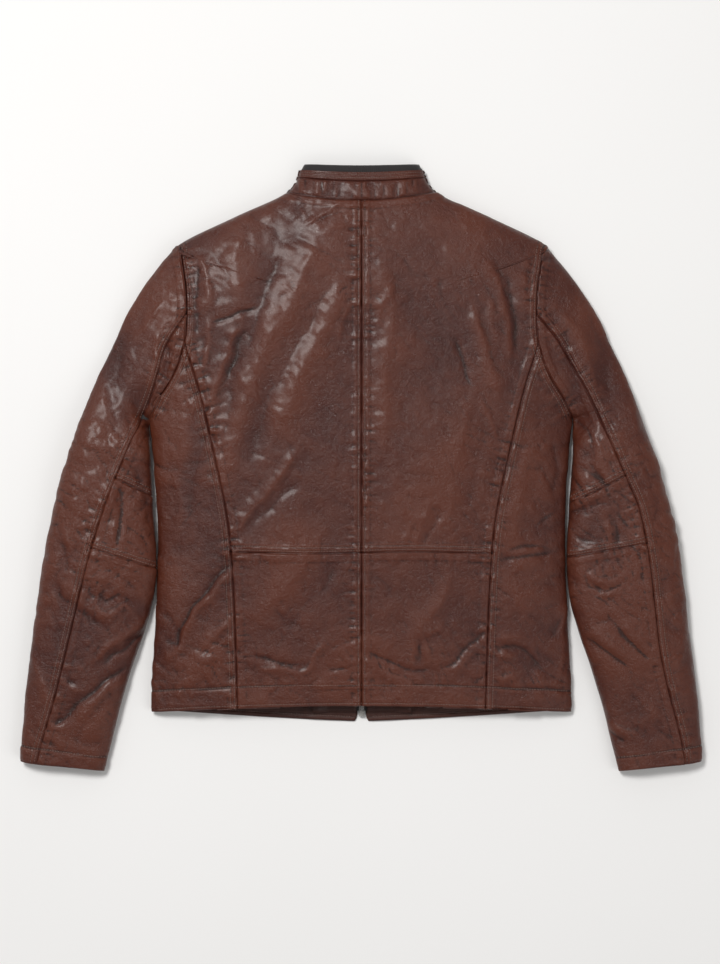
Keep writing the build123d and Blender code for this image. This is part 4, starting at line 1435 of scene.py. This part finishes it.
# %% Sleeve seams and relief
V_TABLE = seam_place(S_GRID, SLEEVE_SEAM[-1]), seam_place(S_GRID, SLEEVE_SEAM[1])
V_STEPS = np.linspace(0, 1, 60)
ELBOW_TABLES = [[elbow_place(V_STEPS, line) for line in ELBOWS[hand]] for hand in (-1, 1)]


def cuff_gap(x, y):
    """Distance of a point above the cuff's edge."""
    (x0, y0), (x1, y1) = (-460, -370.3), (-300, -392.4)
    length = math.hypot(x1 - x0, y1 - y0)
    return ((x1 - x0) * (y - y0) - (y1 - y0) * (-np.abs(x) - x0)) / length


def inner_part(line, hand):
    """The part of an elbow seam between the back seam and the inner edge."""
    seam = np.array(smooth_line(SLEEVE_SEAM[hand]))
    order = np.argsort(seam[:, 1])
    points = smooth_line(line, 3)
    return [p for p in points if p[0] > np.interp(p[1], seam[order, 1], seam[order, 0]) - 1.5]


def sleeve_relief_of(hand):
    """Relief of one sleeve: hand is -1 for the left and 1 for the right."""
    seams = [
        (smooth_line(SLEEVE_SEAM[hand]), (-3.0, -8.0), 1.0),
        (inner_part(ELBOWS[hand][0], hand), (3.0, 7.5), 0.8),
        (inner_part(ELBOWS[hand][1], hand), (3.0, 7.5), 0.8),
        (smooth_line(ARMHOLE), (), 1.0),
    ]
    if hand > 0:
        seams = [(flipped(points), tuple(-row for row in rows), pucker) for points, rows, pucker in seams]
    folds = LEFT_SLEEVE_FOLDS if hand < 0 else RIGHT_SLEEVE_FOLDS

    def relief(x, y, z, up):
        elbow = ramp(90, 20, y) * ramp(-230, -150, y)
        busy = 0.5 + 0.85 * elbow + 0.3 * ramp(-250, -330, y)
        soft = 1.7 * noise(x / 60 + 9 * hand, y / 110, 111) + 0.9 * noise(x / 32, y / 48 + hand, 112)
        crease = (2.4 * crumple(x, y, 38, 121 + hand, 0.9, 1.6)
                  + 1.5 * crumple(x, y, 16, 131 + hand, 0.4, 1.5))
        dents = 0.28 * noise(x / 8.5, y / 8.5, 114) + 0.28 * crumple(x, y, 8, 118, 0.9, 1.3)
        gap = cuff_gap(x, y)
        top = soft + busy * crease + dents + fold_relief(x, y, folds) + seam_relief(x, y, seams)
        top = top - 0.9 * np.exp(-(((gap - 19) / 1.1) ** 2)) + 0.5 * ramp(19, 16, gap) - 1.0 * ramp(2.5, 0, gap)
        low = 0.5 * noise(x / 50, y / 60, 116) + 0.3 * noise(x / 15, y / 20, 117)
        share = ramp(0.0, 0.55, up)
        return top * share + low * (1 - share)
    return relief


def sleeve_strip(hand, low_v, high_v, low_s, high_s, inset=0.0):
    """A piece of the sleeve between two lines along it and two lines across it."""
    def surface(q, r):
        s = np.full(q.shape, 0.6)
        for _ in range(8):
            lo, hi = low_v(s), high_v(s)
            v = lo + (hi - lo) * q
            first, last = low_s(v), high_s(v)
            s = first + (last - first) * r
        spots = sleeve_point(s, v, inset)
        if hand > 0:
            spots[:, 0] *= -1
        return spots
    return surface


def seam_v(hand):
    """The back seam's place for each row."""
    table = V_TABLE[0] if hand < 0 else V_TABLE[1]
    return lambda s: np.interp(s, S_GRID, table)


def elbow_s(hand, number):
    """An elbow seam's place for each column."""
    table = ELBOW_TABLES[0 if hand < 0 else 1][number]
    return lambda v: np.interp(v, V_STEPS, table)


def at_value(value):
    """The same value everywhere."""
    return lambda t: np.full(np.shape(t), float(value))


# %% [markdown]
# With the tube and its seams in hand, each sleeve is five leather pieces and a lining: the long top
# sleeve that wraps over the outer edge, the under sleeve, the elbow panel and the forearm panel between
# the cross seams, and the facing inside the cuff.

# %% Sleeves
sleeve_skins = {-1: [], 1: []}
for hand, side_name in SIDES:
    seam = seam_v(hand)
    relief = sleeve_relief_of(hand)
    bend = sleeve_bend(hand, side_name)
    wrap_low, wrap_high = lambda s: -under_width(s), lambda s: 2 - under_width(s)
    plans = [
        ("top_sleeve", ["top_sleeve", "top_sleeve_head"], seam, wrap_high, at_value(0), at_value(1),
         330, 700),
        ("under_sleeve", ["under_sleeve", "under_sleeve_head"], wrap_low, seam, at_value(SEAM_START),
         elbow_s(hand, 0), 90, 260),
        ("elbow_panel", ["elbow_panel"], wrap_low, seam, elbow_s(hand, 0), elbow_s(hand, 1), 110, 90),
        ("forearm_panel", ["forearm_panel"], wrap_low, seam, elbow_s(hand, 1), at_value(1), 120, 280),
    ]
    for title, nodes, low_v, high_v, low_s, high_s, wide, long in plans:
        piece = laid_grid(f"{side_name}_{title}_leather", spread(wide, STEP), spread(long, STEP),
                          sleeve_strip(hand, low_v, high_v, low_s, high_s), sleeve_outward, relief)
        sleeve_skins[hand].append(piece)
        thicken(piece, SHELL_WALL)
        finish_piece(piece, bend, [f"{side_name}_{n}" for n in nodes], SHELL)

    def inner_relief(x, y, z, up):
        quiet = 0.35 * noise(x / 14, y / 40, 141) + 0.2 * noise(x / 6, y / 12, 142)
        return quiet + np.minimum(relief(x, y, z, up), 0)

    facing = laid_grid(f"{side_name}_cuff_facing_leather", even(300, 3), even(28, 3),
                       sleeve_strip(hand, at_value(0), at_value(2), at_value(0.943), at_value(0.9985), 3.4),
                       sleeve_outward, inner_relief)
    thicken(facing, 1.4)
    finish_piece(facing, bend, [f"{side_name}_cuff_facing"], INNER)
    tube = laid_grid(f"{side_name}_sleeve_lining_cloth", even(330, 5), even(650, 7),
                     sleeve_strip(hand, at_value(0), at_value(2), at_value(0.02), at_value(0.952), 5.4),
                     sleeve_outward, inner_relief)
    thicken(tube, LINING_WALL)
    finish_piece(tube, bend, [f"{side_name}_sleeve_lining", f"{side_name}_sleeve_head_lining"],
                 LINING)

# %% [markdown]
# The stitches come last, when the leather has its final shape. Each one is a tiny rounded length of
# thread. A ray dropped onto the leather gives its height and the way the surface leans there, so the
# thread lies in the leather instead of floating over it.

# %% Stitches
STITCH_PITCH = 3.4
STITCH_LENGTH = 2.5
THREAD_WIDTH, THREAD_HEIGHT = 0.95, 0.8


def skin_tree(pieces_of_skin):
    """One search tree over the upper sides of these pieces."""
    bm = bmesh.new()
    for piece in pieces_of_skin:
        bm.from_mesh(piece.data)
    tree = BVHTree.FromBMesh(bm)
    bm.free()
    return tree


def offset_line(points, distance):
    """A line beside this one; to its left where distance is positive."""
    p = np.array(points, float)
    slope = np.gradient(p, axis=0)
    slope /= np.linalg.norm(slope, axis=1)[:, None]
    return list(map(tuple, p + distance * np.stack([-slope[:, 1], slope[:, 0]], axis=1)))


def add_stitches(bm, tree, points, pitch=STITCH_PITCH, length=STITCH_LENGTH, keep=None):
    """Stitches along a line of points (x, y), laid on the tree's surface."""
    p, run = length_along(points)
    count = 0
    row = bmesh.new()
    way = Vector((0, 0, -1))
    for place in np.arange(pitch, run[-1] - pitch, pitch):
        x, y = np.interp(place, run, p[:, 0]), np.interp(place, run, p[:, 1])
        if keep is not None and not keep(x, y):
            continue
        x2, y2 = np.interp(place + 0.6, run, p[:, 0]), np.interp(place + 0.6, run, p[:, 1])
        spot, normal, _, _ = tree.ray_cast(Vector((x * MM, y * MM, 0.1)), way)
        if spot is None:
            continue
        if normal.dot(way) > 0:
            normal = -normal
        if abs(normal.z) < 0.25:
            continue
        tangent = Vector((x2 - x, y2 - y, 0))
        tangent = (tangent - normal * tangent.dot(normal)).normalized()
        side = normal.cross(tangent)
        turn = Matrix((tangent, side, normal)).transposed().to_4x4()
        shape = Matrix.Diagonal((length * MM, THREAD_WIDTH * MM, THREAD_HEIGHT * MM, 1))
        bmesh.ops.create_uvsphere(row, u_segments=6, v_segments=4, radius=0.5,
                                  matrix=Matrix.Translation(spot + normal * 0.15 * MM) @ turn @ shape)
        count += 1
    sewn = bpy.data.meshes.new("row")
    row.to_mesh(sewn)
    row.free()
    bm.from_mesh(sewn)
    bpy.data.meshes.remove(sewn)
    return count


def thread_piece(name, bm, body):
    """Turns finished stitches into a piece."""
    for face in bm.faces:
        face.smooth = True
    finish_piece(piece_from(name, bm), body, [], THREAD)


body_tree = skin_tree(skins)
bm = bmesh.new()
total = 0
for points, rows, pucker in BODY_SEAMS:
    for gap in rows:
        total += add_stitches(bm, body_tree, offset_line(points, gap))
total += add_stitches(bm, body_tree, HEM_ROW)
total += add_stitches(bm, body_tree, [(x, float(hem_y(x)) + 3.5) for x in np.linspace(-262, 262, 120)])
print("body stitches", total)
thread_piece("body_stitching", bm, "jacket")

bm = bmesh.new()
total = 0
for share, span in ((0.64, 80), (0.735, 78)):
    wide = collar_ring(share)[0]
    row = [(x, 340 + 47 * share - 1.6 * share * (1 - (x / 92) ** 2) + (12 - 11 * share) * (x / wide) ** 2)
           for x in np.linspace(-span, span, 80)]
    total += add_stitches(bm, body_tree, row, 3.0, 2.2)
for sign in (-1, 1):
    row = [(sign * x, float(front_hem_y(x)) + 6) for x in np.linspace(12, 215, 60)]
    total += add_stitches(bm, body_tree, row, keep=lambda x, y: y < hem_y(x) - 2.5)
print("collar and front hem stitches", total)
thread_piece("edge_stitching", bm, "jacket")

for hand, side_name in SIDES:
    tree = skin_tree(sleeve_skins[hand])
    bm = bmesh.new()
    cuff = [(-x, float(-370.3 - 0.1381 * (460 - x)) + 19.3) for x in np.linspace(322, 436, 60)]
    row = cuff if hand < 0 else flipped(cuff)
    total = add_stitches(bm, tree, row)
    lines = [(smooth_line(SLEEVE_SEAM[hand])[4:], (-3.0, -8.0))]
    lines += [(inner_part(elbow, hand), (3.0, 7.5)) for elbow in ELBOWS[hand]]
    for points, gaps in lines:
        for gap in gaps:
            row = offset_line(points, gap)
            row = row if hand < 0 else flipped(row)
            total += add_stitches(bm, tree, row, keep=lambda x, y: cuff_gap(x, y) > 2)
    print(side_name, "sleeve stitches", total)
    thread_piece(f"{side_name}_sleeve_stitching", bm, sleeve_bend(hand, side_name))
